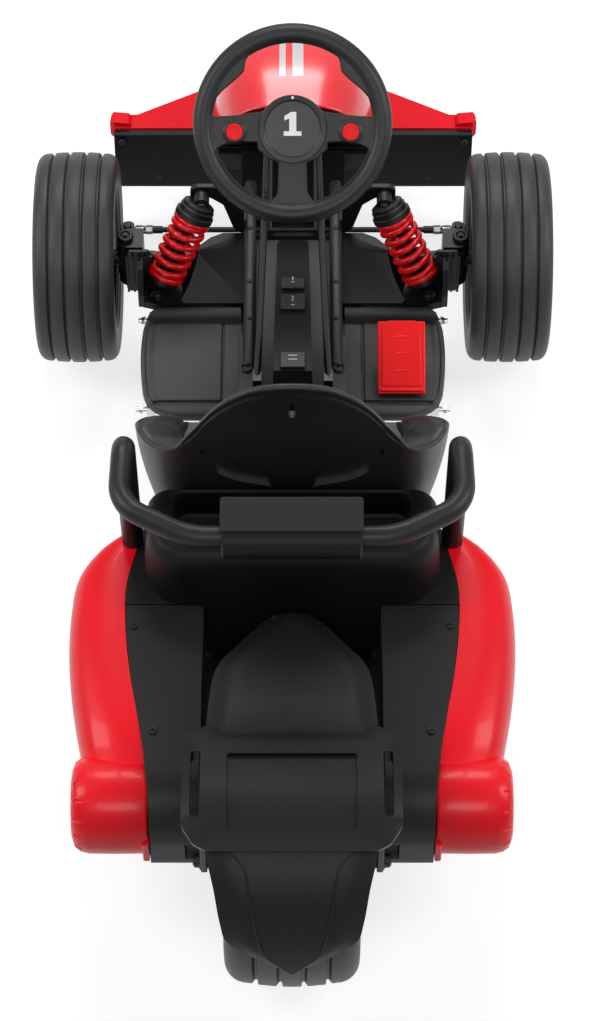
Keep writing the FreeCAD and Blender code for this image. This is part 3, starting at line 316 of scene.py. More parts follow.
def aimed(place, direction):
    """Matrix that stands a part drawn along Z at a place, along a direction."""
    turn = Vector(direction).to_track_quat("Z", "Y").to_matrix().to_4x4()
    return Matrix.Translation(Vector(place)) @ turn


def to_size(profile, size):
    """Points of a profile that is drawn for a head of half width one."""
    return [(size * radius, size * level) for radius, level in profile]


def bolt_head(size):
    """Hexagon head on a washer with the thread's end, for a head of the given half width."""
    # Rows: corners round, profile of washer, head and thread
    rows = ((48, ((0.0, 0.0), (1.25, 0.0), (1.25, 0.18), (0.0, 0.18))),
            (6, ((0.0, 0.18), (1.0, 0.18), (1.0, 0.75), (0.86, 0.92), (0.0, 0.92))),
            (20, ((0.0, 0.8), (0.5, 0.8), (0.5, 1.3), (0.42, 1.4), (0.0, 1.4))))
    return merged("bolt", [turned_mesh("bolt_part", to_size(profile, size), steps)
                           for steps, profile in rows])


def screw_head(size):
    """Round head with a recess pressed into it."""
    profile = ((0.0, 0.0), (1.0, 0.0), (1.0, 0.25), (0.8, 0.5), (0.42, 0.56), (0.26, 0.22), (0.0, 0.18))
    return turned_mesh("screw", to_size(profile, size), steps=24)


def fasteners(name, kind, size, places, material, body, slot):
    """Like fasteners in one piece; each place gives a point and the way the head faces."""
    parts = []
    for place, direction in places:
        part = kind(size)
        part.transform(aimed(place, direction))
        parts.append(part)
    return add_piece(name, merged(name, parts), material, body, slot)


def both_sides(places):
    """The given places and their mirror images across the kart's middle."""
    twins = [((-place[0], place[1], place[2]), (-way[0], way[1], way[2])) for place, way in places]
    return list(places) + twins


damper_foot = Vector((0.193, 0.364, 0.1303))
damper_head = Vector((0.129, 0.433, 0.250))
frame_bolts = both_sides((
    (damper_foot + Vector((0.0, -0.009, 0.0)), (0.0, -1.0, 0.0)),
    (damper_head + Vector((0.0, -0.009, 0.0)), (0.0, -1.0, 0.0)),
    ((0.238, 0.408, 0.195), (0.0, 0.0, 1.0)),
    ((0.212, 0.362, 0.119), (0.0, 0.0, 1.0)),
    ((0.090, 0.400, 0.135), (0.0, 0.0, 1.0)),
    ((0.049, 0.153, 0.176), (0.0, -1.0, 0.0)),
))
fasteners("frame_bolts", bolt_head, 0.0065, frame_bolts, frame_coat, "root", "frame_black")
tray_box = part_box("foot_tray_right")
rod_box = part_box("tray_rods")
rod_height = (rod_box[0][2] + rod_box[1][2]) / 2.0 - 0.0026
rod_tip = rod_box[1][0] - 0.010
rod_nuts = both_sides((((rod_tip, tray_box[0][1] + 0.028, 0.0877), (1.0, 0.0, 0.0)),
                       ((rod_tip, tray_box[1][1] - 0.004, 0.0877), (1.0, 0.0, 0.0))))
fasteners("tray_rod_nuts", bolt_head, 0.0060, rod_nuts, bright_steel, "root", "steel_bright")

# Tyres: soft black rubber with round shoulders and five ribs between four deep grooves.
# Each is moulded in one piece and pressed over its rim.


def tyre_profile(radius, half, bead, groove_places, groove_half, groove_depth, shoulder, crown):
    """(x, radius) points from the inner bead over the tread to the outer bead."""
    right = [(half - 0.0090, bead), (half - 0.0052, bead + 0.0015), (half - 0.0035, bead + 0.0055),
             (half - 0.0020, bead + 0.0060), (half - 0.0012, bead + 0.0120), (half - 0.0006, bead + 0.0190),
             (half - 0.0002, bead + 0.0205), (half - 0.0004, bead + 0.0225)]
    corner_x = half - shoulder
    corner_r = radius - shoulder - crown
    for step in range(0, 9):
        turn = math.radians(90.0 * step / 8.0)
        right.append((corner_x + shoulder * math.cos(turn), corner_r + shoulder * math.sin(turn)))
    edge = right[-1][0]
    tread = []
    for middle in sorted(groove_places, reverse=True):
        for shift, drop in ((groove_half + 0.0026, 0.0), (groove_half + 0.0006, 0.0006),
                            (0.0002, groove_depth), (-groove_half + 0.0006, groove_depth),
                            (-groove_half, 0.0009), (-groove_half - 0.0016, 0.0)):
            x = middle + shift
            tread.append((x, radius - crown * (x / edge) ** 2 - drop))
    middle_rib = [(0.0, radius)]
    half_profile = right + [point for point in tread if point[0] > 0.0]
    mirrored_half = [(-x, level) for x, level in reversed(half_profile)]
    return half_profile + middle_rib + mirrored_half


def stood(mesh, place, turn=0.0, axis="Y"):
    """Turn the mesh about an axis, in degrees, and move it to its place."""
    mesh.transform(Matrix.Translation(place) @ Matrix.Rotation(math.radians(turn), 4, axis))
    return mesh


def tyre_mesh(name, profile, centre, steps=112):
    """The profile turned round the wheel's axle at its centre."""
    mesh = turned_mesh(name, [(level, x) for x, level in profile] + [(profile[0][1], profile[0][0])], steps)
    return stood(mesh, centre, 90.0)


def node_centre(node):
    """Middle of a node's box."""
    low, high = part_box(node)
    return (Vector(low) + Vector(high)) / 2.0


# Satin black rubber with fine pores
tyre_rubber = finish_of("tyre_rubber", (0.018, 0.018, 0.018), (0.038, 0.038, 0.039), rough=0.50,
                        grain=650.0, depth=0.00025, patch=14.0, mirror=0.4)
bead_radius = 0.0951
front_profile = tyre_profile(radius=0.150, half=0.0565, bead=bead_radius, groove_places=(0.0115, 0.0340),
                             groove_half=0.0026, groove_depth=0.0050, shoulder=0.0150, crown=0.0022)
rear_profile = tyre_profile(radius=0.158, half=0.0850, bead=bead_radius, groove_places=(0.0155, 0.0460),
                            groove_half=0.0034, groove_depth=0.0060, shoulder=0.0290, crown=0.0050)
for side in ("left", "right"):
    node = "front_tyre_" + side
    mesh = tyre_mesh(node + "_rubber", front_profile, node_centre(node))
    add_piece(node + "_rubber", mesh, tyre_rubber, "front_wheel_" + side, "tyre_black", node)
mesh = tyre_mesh("rear_tyre_rubber", rear_profile, node_centre("rear_tyre"))
add_piece("rear_tyre_rubber", mesh, tyre_rubber, "rear_wheel", "tyre_black", "rear_tyre")

# Wheel rims and hub caps: injection moulded black plastic with round windows and a domed cap.
rim_plastic = finish_of("rim_plastic", black(0.008), black(0.016), rough=0.30, grain=300.0,
                        depth=0.00010, edge=0.25, mirror=0.4)
for side in ("left", "right"):
    rolled_edges("front_rim_" + side, rim_plastic, 0.0012)
    rolled_edges("front_cap_" + side, rim_plastic, 0.0008)
rolled_edges("rear_rim", rim_plastic, 0.0012)

# Coil springs: seven and a half turns of 9 mm round wire, wound open and dipped in red gloss enamel.
# Each is held between the damper's lower seat and its black stepped cap.


def swept_mesh(name, path, radius, sides=14):
    """Round bar along a list of points, with flat ends."""
    points = [Vector(point) for point in path]
    count = len(points)
    mould = bmesh.new()
    rings = []
    tangent = (points[1] - points[0]).normalized()
    normal = tangent.orthogonal().normalized()
    for index, point in enumerate(points):
        ahead = points[min(index + 1, count - 1)] - points[max(index - 1, 0)]
        ahead.normalize()
        normal = (normal - ahead * normal.dot(ahead)).normalized()
        across = ahead.cross(normal)
        turns = [2.0 * math.pi * step / sides for step in range(sides)]
        rings.append([mould.verts.new(point + radius * (normal * math.cos(turn) + across * math.sin(turn)))
                      for turn in turns])
    for low, high in zip(rings, rings[1:]):
        for step in range(sides):
            following = (step + 1) % sides
            mould.faces.new((low[step], low[following], high[following], high[step]))
    mould.faces.new(rings[0][::-1])
    mould.faces.new(rings[-1])
    return shaded(mesh_of(mould, name), 50.0)


def coil_path(start, end, radius, turns, steps=26):
    """Helix between two points, its end turns lying flat."""
    axis = end - start
    frame_of_coil = aimed(start, axis)
    points = []
    total = int((turns + 1.5) * steps)
    for index in range(total + 1):
        turn = index / steps
        rise = min(max(turn - 0.75, 0.0), turns)
        share = rise / turns
        eased = 0.03 + 0.94 * share
        angle = 2.0 * math.pi * turn
        points.append(frame_of_coil @ Vector((radius * math.cos(angle), radius * math.sin(angle),
                                              eased * axis.length)))
    return points


spring_enamel = finish_of("spring_enamel", (0.80, 0.003, 0.006), (0.93, 0.006, 0.010), rough=0.30,
                          grain=200.0, depth=0.00004, patch=20.0, coat=0.25, mirror=0.3)
cap_plastic = finish_of("cap_plastic", black(0.006), black(0.012), rough=0.38, grain=500.0,
                        depth=0.0001, edge=0.2, mirror=0.3)
sides = (("left", -1.0), ("right", 1.0))
# Shares of the way from the damper's foot to its head
ring_share = 0.10
coil_start = 0.16
coil_end = 0.80
for side, sign in sides:
    foot = Vector((sign * damper_foot.x, damper_foot.y, damper_foot.z))
    head = Vector((sign * damper_head.x, damper_head.y, damper_head.z))
    line = head - foot
    wire_line = coil_path(foot + coil_start * line, foot + coil_end * line, radius=0.0226, turns=6.0)
    coil = swept_mesh("spring_%s_coil" % side, wire_line, radius=0.0047)
    add_piece("spring_%s_coil" % side, coil, spring_enamel, "root", "spring_red", "spring_" + side)
    cap = turned_mesh("cap", ((0.0, 0.0), (0.0255, 0.0), (0.0278, 0.0022), (0.0278, 0.0090), (0.0250, 0.0105),
                              (0.0250, 0.0175), (0.0225, 0.0190), (0.0215, 0.0235), (0.0170, 0.0260),
                              (0.0, 0.0260)))
    cap.transform(aimed(foot + coil_end * line, line))
    seat_ring = turned_mesh("ring", ((0.0, 0.0), (0.0200, 0.0), (0.0240, 0.0040), (0.0240, 0.0070),
                                     (0.0, 0.0080)))
    seat_ring.transform(aimed(foot + ring_share * line, line))
    name = "spring_%s_seats" % side
    add_piece(name, merged(name, (cap, seat_ring)), cap_plastic, "root", "frame_black")

# Upright behind each kingpin: a cast black cover with five standing ribs, a ring round the kingpin's
# head and a bolt at its foot. The track rod beside it has a bright threaded adjuster.
rib_pitch = 0.0086
rib_width = 0.0036


def refaced(mesh):
    """The mesh with its faces turned outward."""
    mould = bmesh.new()
    mould.from_mesh(mesh)
    bmesh.ops.recalc_face_normals(mould, faces=mould.faces)
    mould.to_mesh(mesh)
    mould.free()
    return mesh


def plate_mesh(name, points, low, high):
    """Flat plate through (x, y) corners between two heights."""
    count = len(points)
    verts = [(x, y, low) for x, y in points] + [(x, y, high) for x, y in points]
    faces = [tuple(range(count))[::-1], tuple(range(count, 2 * count))]
    for index in range(count):
        following = (index + 1) % count
        faces.append((index, following, count + following, count + index))
    mesh = bpy.data.meshes.new(name)
    mesh.from_pydata(verts, [], faces)
    return refaced(mesh)


def sided(mesh, sign):
    """Mirror the mesh to the kart's left where the sign is minus one."""
    mesh.transform(Matrix.Diagonal((sign, 1.0, 1.0, 1.0)))
    return mesh


for side, sign in sides:
    casting = [turned_mesh("boss", ((0.0050, 0.0), (0.0112, 0.0), (0.0112, 0.0060), (0.0100, 0.0072),
                                    (0.0068, 0.0072), (0.0060, 0.0040), (0.0050, 0.0040), (0.0050, 0.0)), 40)]
    stood(casting[0], (sign * 0.238, 0.408, 0.1952))
    sheet = ((0.1985, 0.1000), (0.2330, 0.1000), (0.2390, 0.1080), (0.2390, 0.1860), (0.2330, 0.1920),
             (0.2060, 0.1920), (0.1985, 0.1780))
    walls = [plate_mesh("wall", sheet, 0.0, 0.0050)]
    for rib in range(5):
        left = 0.2000 + rib_pitch * rib
        right = left + rib_width
        bar = ((left, 0.1020), (right, 0.1020), (right, 0.1840), (left, 0.1840))
        walls.append(plate_mesh("rib", bar, 0.0046, 0.0086))
    casting += [sided(stood(wall, (0.0, 0.3905, 0.0), 90.0, "X"), sign) for wall in walls]
    cover = refaced(merged("upright_cover_" + side, casting))
    softened(add_piece("upright_cover_" + side, cover, frame_coat, "root", "frame_black"), 0.0010, 2, 30.0)
adjusters = []
for sign in (-1.0, 1.0):
    sleeve = turned_mesh("sleeve", ((0.0, 0.202), (0.0062, 0.202), (0.0066, 0.203), (0.0066, 0.212),
                                    (0.0058, 0.213), (0.0058, 0.216), (0.0066, 0.217), (0.0066, 0.2265),
                                    (0.0050, 0.2275), (0.0, 0.2275)), 6)
    adjusters.append(stood(sleeve, (0.0, 0.458, 0.150), 90.0 * sign))
add_piece("track_rod_adjusters", merged("track_rod_adjusters", adjusters), bright_steel, "track_rod",
          "steel_bright")

# Steering wheel: one moulded rim with three spokes in soft black plastic, thumb rests at ten and two.
# The round hub carries a number plate, and a red push button stands in each side spoke.
wheel_hub = Vector((0.0, 0.404, 0.450))
column_angle = math.radians(50.0)
wheel_frame = Matrix.Translation(wheel_hub) @ Matrix((
    (1.0, 0.0, 0.0),
    (0.0, math.sin(column_angle), -math.cos(column_angle)),
    (0.0, math.cos(column_angle), math.sin(column_angle)))).to_4x4()
rim_radius = 0.1215
rim_tube = 0.0135


def smooth_outline(corners, steps=8):
    """Closed outline through corners given as (x, y, corner radius)."""
    points = []
    count = len(corners)
    for index, (x, y, radius) in enumerate(corners):
        here = Vector((x, y))
        back = (Vector(corners[index - 1][:2]) - here).normalized()
        ahead = (Vector(corners[(index + 1) % count][:2]) - here).normalized()
        if radius == 0.0:
            points.append((x, y))
            continue
        half = back.angle(ahead) / 2.0
        centre = here + (back + ahead).normalized() * (radius / math.sin(half))
        entry = here + back * (radius / math.tan(half)) - centre
        leave = here + ahead * (radius / math.tan(half)) - centre
        for step in range(steps + 1):
            share = step / steps
            spoke = entry.lerp(leave, share).normalized() * radius
            points.append((centre.x + spoke.x, centre.y + spoke.y))
    return points


def moulded(piece, voxel, smoothing, rounds):
    """Fuse a piece's parts into one skin with soft fillets between them."""
    fuse = piece.modifiers.new("fuse", "REMESH")
    fuse.mode = "VOXEL"
    fuse.voxel_size = voxel
    fuse.use_smooth_shade = True
    soften = piece.modifiers.new("soften", "SMOOTH")
    soften.factor = smoothing
    soften.iterations = rounds
    return piece


rim_steps = 120
rim_turns = [2.0 * math.pi * step / rim_steps for step in range(rim_steps + 1)]
rim_path = [(rim_radius * math.cos(turn), rim_radius * math.sin(turn), 0.0) for turn in rim_turns]
spoke_side = smooth_outline(((0.036, -0.0255, 0.0), (0.074, -0.0245, 0.020), (0.094, -0.0285, 0.020),
                             (0.1235, -0.0490, 0.002), (0.1235, 0.026, 0.002), (0.1060, 0.0098, 0.005),
                             (0.078, 0.0116, 0.020), (0.036, 0.0170, 0.0)))
spoke_low = smooth_outline(((-0.047, -0.020, 0.0), (-0.047, -0.034, 0.003), (-0.032, -0.047, 0.003),
                            (-0.0188, -0.052, 0.003), (-0.0204, -0.094, 0.014), (-0.040, -0.1205, 0.003),
                            (0.040, -0.1205, 0.003), (0.0204, -0.094, 0.014), (0.0188, -0.052, 0.003),
                            (0.032, -0.047, 0.003), (0.047, -0.034, 0.003), (0.047, -0.020, 0.0)))
thumb_rest = smooth_outline(((0.0608, 0.1030, 0.0), (0.0570, 0.0960, 0.004), (0.0630, 0.0850, 0.006),
                             (0.0655, 0.0700, 0.006), (0.0760, 0.0600, 0.008), (0.0950, 0.0440, 0.014),
                             (0.1130, 0.0230, 0.002), (0.1150, 0.0380, 0.002), (0.0931, 0.0781, 0.010)))
wheel_parts = [swept_mesh("rim", rim_path, rim_tube, 24), plate_mesh("spoke_low", spoke_low, -0.0065, 0.0065)]
for outline, thick in ((spoke_side, 0.0068), (thumb_rest, 0.0085)):
    wheel_parts.append(plate_mesh("right", outline, -thick, thick))
    wheel_parts.append(plate_mesh("left", [(-x, y) for x, y in reversed(outline)], -thick, thick))
button_places = [Matrix.Translation((sign * 0.0785, -0.011, 0.0)) for sign in (-1.0, 1.0)]
for place in button_places:
    boss = turned_mesh("boss", ((0.0, -0.005), (0.0150, -0.005), (0.0150, 0.0078), (0.0135, 0.0092),
                                (0.0, 0.0092)))
    boss.transform(place)
    wheel_parts.append(boss)
hub_place = Matrix.Translation((0.0, -0.007, 0.0))
hub_back = turned_mesh("hub_back", ((0.0, -0.012), (0.0430, -0.012), (0.0460, -0.006), (0.0460, 0.004),
                                    (0.0440, 0.0065), (0.0, 0.0065)), 72)
hub_back.transform(hub_place)
wheel_parts.append(hub_back)
wheel_mesh = merged("steering_rim_moulding", wheel_parts)
wheel_mesh.transform(wheel_frame)
grip_plastic = finish_of("grip_plastic", black(0.0065), black(0.0125), rough=0.44, grain=900.0,
                         depth=0.00018, edge=0.2, mirror=0.35)
moulded(add_piece("steering_rim_moulding", wheel_mesh, grip_plastic, "steering", "grip_black",
                  "steering_rim"), 0.0014, 0.5, 6)

hub_mesh = turned_mesh("steering_hub_cover", (
    (0.0, 0.0060), (0.0448, 0.0060), (0.0460, 0.0076), (0.0460, 0.0125), (0.0450, 0.0143), (0.0392, 0.0150),
    (0.0376, 0.0142), (0.0370, 0.0128), (0.0, 0.0128)), 96)
hub_mesh.transform(wheel_frame @ hub_place)
hub_plastic = finish_of("hub_plastic", black(0.007), black(0.013), rough=0.34, grain=500.0,
                        depth=0.00008, edge=0.3, mirror=0.35)
add_piece("steering_hub_cover", hub_mesh, hub_plastic, "steering", "grip_black", "steering_hub")


def printed_paint(name, shade, grain, least, most):
    """Matt printed paint with uneven gloss."""
    material, tree, shader = new_material(name)
    speck = tree.nodes.new("ShaderNodeTexNoise")
    speck.inputs["Scale"].default_value = grain
    feed(tree, spread(tree, speck.outputs["Fac"], least, most), shader.inputs["Roughness"])
    shader.inputs["Base Color"].default_value = (shade, shade, shade, 1.0)
    return material


number_white = printed_paint("number_white", 0.86, 260.0, 0.30, 0.45)
number_points = ((-0.0120, -0.0160), (0.0120, -0.0160), (0.0120, -0.0100), (0.0050, -0.0100),
                 (0.0050, 0.0160), (-0.0020, 0.0160), (-0.0110, 0.0105), (-0.0110, 0.0045),
                 (-0.0045, 0.0072), (-0.0045, -0.0100), (-0.0120, -0.0100))
number_mesh = plate_mesh("digit", number_points, 0.0124, 0.0134)
lamp_dot = turned_mesh("dot", ((0.0, 0.0140), (0.0021, 0.0140), (0.0018, 0.0156), (0.0, 0.0160)), 20)
stood(lamp_dot, (0.0, 0.0350, 0.0))
number_mesh = merged("hub_number_plate", (number_mesh, lamp_dot))
number_mesh.transform(wheel_frame)
add_piece("hub_number_plate", number_mesh, number_white, "steering", "grip_black")

button_gloss = finish_of("button_gloss", (0.80, 0.002, 0.006), (0.92, 0.004, 0.008), rough=0.42,
                         grain=300.0, depth=0.00003, patch=30.0, mirror=0.25)
button_parts = []
for place in button_places:
    button = turned_mesh("button", ((0.0, 0.0075), (0.0112, 0.0075), (0.0115, 0.0125), (0.0105, 0.0138),
                                    (0.0075, 0.0140), (0.0070, 0.0134), (0.0, 0.0130)), 48)
    button.transform(place)
    button_parts.append(button)
button_mesh = merged("horn_buttons", button_parts)
button_mesh.transform(wheel_frame)
add_piece("horn_buttons", button_mesh, button_gloss, "steering", "button_red", "steering_buttons")

# Spine cover: round side rails, the tall console between them and the toe mouldings.
# All are injection moulded in black plastic with a fine grain and screwed to the spine.
fine_plastic = finish_of("fine_plastic", black(0.014), black(0.024), rough=0.45, grain=1100.0,
                         depth=0.00022, edge=0.22, mirror=0.3)
dark_plastic = finish_of("dark_plastic", black(0.0045), black(0.009), rough=0.42, grain=1100.0,
                         depth=0.00020, edge=0.22, mirror=0.22)
# Blackest plastic: the parts' own black with painted shade added, darker than the other black plastics. It
# serves the console, the seat housing's rear-facing wall, the pad's sleeve and the wing's board.
black_plastic_with_painted_shade = finish_of("black_plastic_with_painted_shade", (0.0024, 0.0024, 0.0026), (0.0050, 0.0050, 0.0054),
                         rough=0.46, grain=1100.0, depth=0.00020, edge=0.18, mirror=0.16)
rolled_edges("spine_rails", fine_plastic, 0.0060)
for node in ("front_shroud_left", "front_shroud_right"):
    rolled_edges(node, dark_plastic, 0.0060)
# The console takes the blackest plastic, with painted shade in its colour.
rolled_edges("console", black_plastic_with_painted_shade, 0.0030)
rolled_edges("console_switches", fine_plastic, 0.0015)
upward = (0.0, 0.0, 1.0)
cover_screws = both_sides([((0.061, y, 0.1900), upward) for y in (0.270, 0.335, 0.430)])
fasteners("cover_screws", screw_head, 0.0034, cover_screws, frame_coat, "root", "frame_black")
small_heads = both_sides((((0.0720, 0.2060, 0.1745), (0.0, -0.2, 1.0)),))
fasteners("spine_bolts", bolt_head, 0.0026, small_heads, bright_steel, "root", "steel_bright")

# Rail ends: behind its step each rail runs on lower and wider to the seat, with a screw sunk in a
# round collar. Moulded with the cover from the same plastic.
tails = []
for sign in (-1.0, 1.0):
    corners = smooth_outline(((0.0515, 0.1380, 0.003), (0.0755, 0.1380, 0.003), (0.0755, 0.2470, 0.003),
                              (0.0515, 0.2470, 0.003)), 4)
    tails.append(sided(plate_mesh("tail", corners, 0.1495, 0.1820), sign))
    collar = turned_mesh("collar", ((0.0, 0.0), (0.0082, 0.0), (0.0082, 0.0030), (0.0074, 0.0040),
                                    (0.0060, 0.0040), (0.0054, 0.0018), (0.0, 0.0018)), 40)
    tails.append(stood(collar, (sign * 0.0640, 0.1900, 0.1818)))
tail_mesh = shaded(refaced(merged("rail_tails", tails)))
softened(add_piece("rail_tails", tail_mesh, fine_plastic, "root", "plastic_black"), 0.0060, 4, 60.0)

mark_white = printed_paint("mark_white", 0.42, 900.0, 0.40, 0.60)
switch_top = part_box("console_switches")[1][2]
mark_meshes = []
# Rows: middle along the console, width, depth of one mark on a rocker
for y, wide, deep in ((0.2985, 0.0020, 0.0050), (0.2920, 0.0055, 0.0014), (0.2655, 0.0020, 0.0050),
                      (0.2605, 0.0040, 0.0014), (0.2525, 0.0055, 0.0014), (0.1665, 0.0120, 0.0014),
                      (0.1600, 0.0120, 0.0014)):
    corners = ((-wide / 2.0, y - deep / 2.0), (wide / 2.0, y - deep / 2.0), (wide / 2.0, y + deep / 2.0),
               (-wide / 2.0, y + deep / 2.0))
    mark_meshes.append(plate_mesh("mark", corners, switch_top - 0.0002, switch_top + 0.0003))
add_piece("switch_marks", merged("switch_marks", mark_meshes), mark_white, "root", "plastic_black")

# Foot trays: shallow dark grey trays with a thick rolled band in front, a lower one behind, sunk
# grooves beside the bands and a non-slip grain. Blow moulded, and hung on two threaded rods.


def through(table, place):
    """Values of a table at a place, by a smooth curve through its rows."""
    rows = sorted(table)
    last = len(rows) - 1
    index = 0
    while index < last - 1 and place > rows[index + 1][0]:
        index += 1
    before = rows[max(index - 1, 0)]
    near = rows[index]
    far = rows[index + 1]
    after = rows[min(index + 2, last)]
    span = far[0] - near[0]
    share = min(max((place - near[0]) / span, 0.0), 1.0)
    cube = share ** 3
    square = share ** 2
    values = []
    for first, start, end, final in zip(before[1:], near[1:], far[1:], after[1:]):
        rise = (end - first) / (far[0] - before[0]) * span
        fall = (final - start) / (after[0] - near[0]) * span
        values.append((2 * cube - 3 * square + 1) * start + (cube - 2 * square + share) * rise
                      + (3 * square - 2 * cube) * end + (cube - square) * fall)
    return values


def grid_mesh(name, rows, around=False, capped=False):
    """Skin through rows of points; around closes each row to a loop, capped closes both ends."""
    mould = bmesh.new()
    lines = [[mould.verts.new(point) for point in row] for row in rows]
    for low, high in zip(lines, lines[1:]):
        count = len(low)
        for index in range(count if around else count - 1):
            following = (index + 1) % count
            mould.faces.new((low[index], low[following], high[following], high[index]))
    if capped:
        mould.faces.new(lines[0])
        mould.faces.new(lines[-1])
    bmesh.ops.remove_doubles(mould, verts=mould.verts, dist=0.00003)
    bmesh.ops.recalc_face_normals(mould, faces=mould.faces)
    return shaded(mesh_of(mould, name), 42.0)


def ramp(low, high, value):
    """Zero below the low value, one above the high one, and a soft rise between them."""
    share = min(max((value - low) / (high - low), 0.0), 1.0)
    return share * share * (3.0 - 2.0 * share)


def notch(middle, half, value):
    """One inside a groove of the given half width, fading to zero at its edges."""
    return 1.0 - ramp(half * 0.55, half, abs(value - middle))


tray_plastic = finish_of("tray_plastic", (0.040, 0.040, 0.041), (0.062, 0.062, 0.064), rough=0.55,
                         grain=700.0, depth=0.0006, edge=0.2, mirror=0.3)
tray_low, tray_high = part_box("foot_tray_right")
tray_base = tray_low[2]
tray_level = tray_base + 0.0100
tray_back = tray_low[1]
tray_front = tray_high[1]
tray_inside = tray_low[0]
# Rows: y, how far out the tray reaches there
tray_reaches = ((tray_back, 0.160), (tray_back + 0.003, 0.172), (tray_back + 0.012, 0.193), (0.188, 0.2075),
                (0.215, 0.2132), (0.262, 0.2160), (0.300, 0.2145), (0.320, 0.2110), (0.334, 0.2020),
                (tray_front - 0.002, 0.188), (tray_front, 0.176))


def tray_surface(x, y, reach):
    """Height of the tray's upper side."""
    front_band = 0.0125 * math.sqrt(max(0.0, 1.0 - ((y - tray_front + 0.0100) / 0.0105) ** 2))
    rear_band = 0.0060 * math.sqrt(max(0.0, 1.0 - ((y - tray_back - 0.0100) / 0.0102) ** 2))
    level = tray_level + max(front_band, rear_band)
    clear = ramp(0.006, 0.012, reach - x)
    level -= 0.0055 * clear * notch(tray_front - 0.0245, 0.0036, y)
    level -= 0.0045 * clear * notch(tray_back + 0.0250, 0.0034, y)
    if tray_back + 0.020 < y < tray_front - 0.022:
        level -= 0.0022 * notch(0.0990, 0.0022, x)
        level += 0.0030 * notch(reach - 0.0035, 0.0040, x)
        level += 0.0014 * ramp(0.099, 0.103, x) * ramp(0.012, 0.020, reach - x)
    return level


tray_steps = 160
tray_columns = 110
tray_edge = 0.0030
for side, sign in sides:
    rows = []
    for step in range(tray_steps + 1):
        y = tray_back + (tray_front - tray_back) * step / tray_steps
        reach = through(tray_reaches, y)[0]
        edge_y = min(y - tray_back, tray_front - y)
        row = []
        for column in range(tray_columns + 1):
            x = tray_inside + (reach - tray_inside) * column / tray_columns
            gap = min(reach - x, edge_y, tray_edge) / tray_edge
            fall = tray_edge * (1.0 - math.sqrt(max(0.0, 1.0 - (1.0 - gap) ** 2)))
            row.append((sign * x, y, tray_surface(x, y, reach) - fall))
        row.append((sign * reach, y, tray_base + 0.0010))
        row.append((sign * (reach - 0.0020), y, tray_base))
        row.append((sign * tray_inside, y, tray_base))
        rows.append(row)
    name = "foot_tray_%s_moulding" % side
    tray_mesh = grid_mesh(name, rows, around=True, capped=True)
    add_piece(name, tray_mesh, tray_plastic, "root", "tray_grey", "foot_tray_" + side)

# Pedal: red plastic tread on a black hinged base, with a raised inner panel, three shallow arcs
# to grip the sole and a rounded lip at the heel.


def mirrored(right_half):
    """Whole outline from the (x, y, corner radius) corners of its right half, front to back."""
    left_half = [(-x, y, radius) for x, y, radius in reversed(right_half) if x > 0.0]
    return left_half[-1:] + list(right_half) + left_half[:-1]


pedal_plastic = finish_of("pedal_plastic", (0.86, 0.001, 0.001), (0.98, 0.003, 0.003), rough=0.42,
                          grain=500.0, depth=0.0001, patch=16.0, coat=0.10, mirror=0.3)
rolled_edges("pedal", pedal_plastic, 0.0020)
rolled_edges("pedal_base", dark_plastic, 0.0015)
pedal_low, pedal_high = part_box("pedal")
pedal_middle = (pedal_low[0] + pedal_high[0]) / 2.0
pedal_rise = 0.046
pedal_run = 0.092
pedal_slope = math.atan2(pedal_rise, pedal_run)
pedal_frame = Matrix.Translation((pedal_middle, 0.2345, 0.1492)) @ Matrix.Rotation(pedal_slope, 4, "X")
pedal_panel = smooth_outline(mirrored(((0.0280, -0.0430, 0.003), (0.0262, 0.0500, 0.010))))
panel_parts = [plate_mesh("panel", pedal_panel, -0.0016, 0.0022)]
for reach in (-0.022, 0.002, 0.026):
    turns = [math.radians(turn) for turn in range(20, 161, 10)]
    arc = [(0.0125 * math.cos(turn), reach - 0.004 + 0.006 * math.sin(turn), 0.0022) for turn in turns]
    panel_parts.append(swept_mesh("grip_arc", arc, 0.0009, 8))
heel = [(-0.0300, -0.0485, 0.0006), (0.0300, -0.0485, 0.0006)]
panel_parts.append(swept_mesh("heel_lip", heel, 0.0024, 12))
panel_mesh = merged("pedal_panel", panel_parts)
panel_mesh.transform(pedal_frame)
softened(add_piece("pedal_panel", panel_mesh, pedal_plastic, "root", "pedal_red"), 0.0012, 3, 50.0)

# Seat: one blow moulded black bucket with high side bolsters, a rolled rim and grained outer skin.
# Its back has two scooped vents, two belt slots and a keyhole, and it is bolted to the seat base.
seat_floor = 0.172
# Rows: height, half width at the back, half width at the front, y of the back, corner radius
seat_rows = ((0.172, 0.168, 0.158, -0.100, 0.050), (0.300, 0.194, 0.172, -0.110, 0.066),
             (0.390, 0.203, 0.178, -0.113, 0.070), (0.600, 0.203, 0.182, -0.130, 0.070))
# Rows: distance from the middle, height of the rim there, seen from behind
seat_rear_rim = ((0.000, 0.5860), (0.020, 0.5850), (0.050, 0.5770), (0.078, 0.5560), (0.101, 0.5270),
                 (0.120, 0.4920), (0.131, 0.4720), (0.141, 0.4580), (0.153, 0.4440), (0.172, 0.4310),
                 (0.191, 0.4240), (0.230, 0.4240))
# Rows: y, height of the rim there, seen from the side
seat_side_rim = ((-0.100, 0.4320), (-0.073, 0.4240), (-0.050, 0.4080), (-0.028, 0.3820), (0.000, 0.3260),
                 (0.030, 0.2820), (0.062, 0.2370), (0.085, 0.2030), (0.098, 0.1860))


def seat_level(column, height):
    """Values of one column of seat_rows at a height."""
    return through([(row[0], row[column]) for row in seat_rows], height)[0]


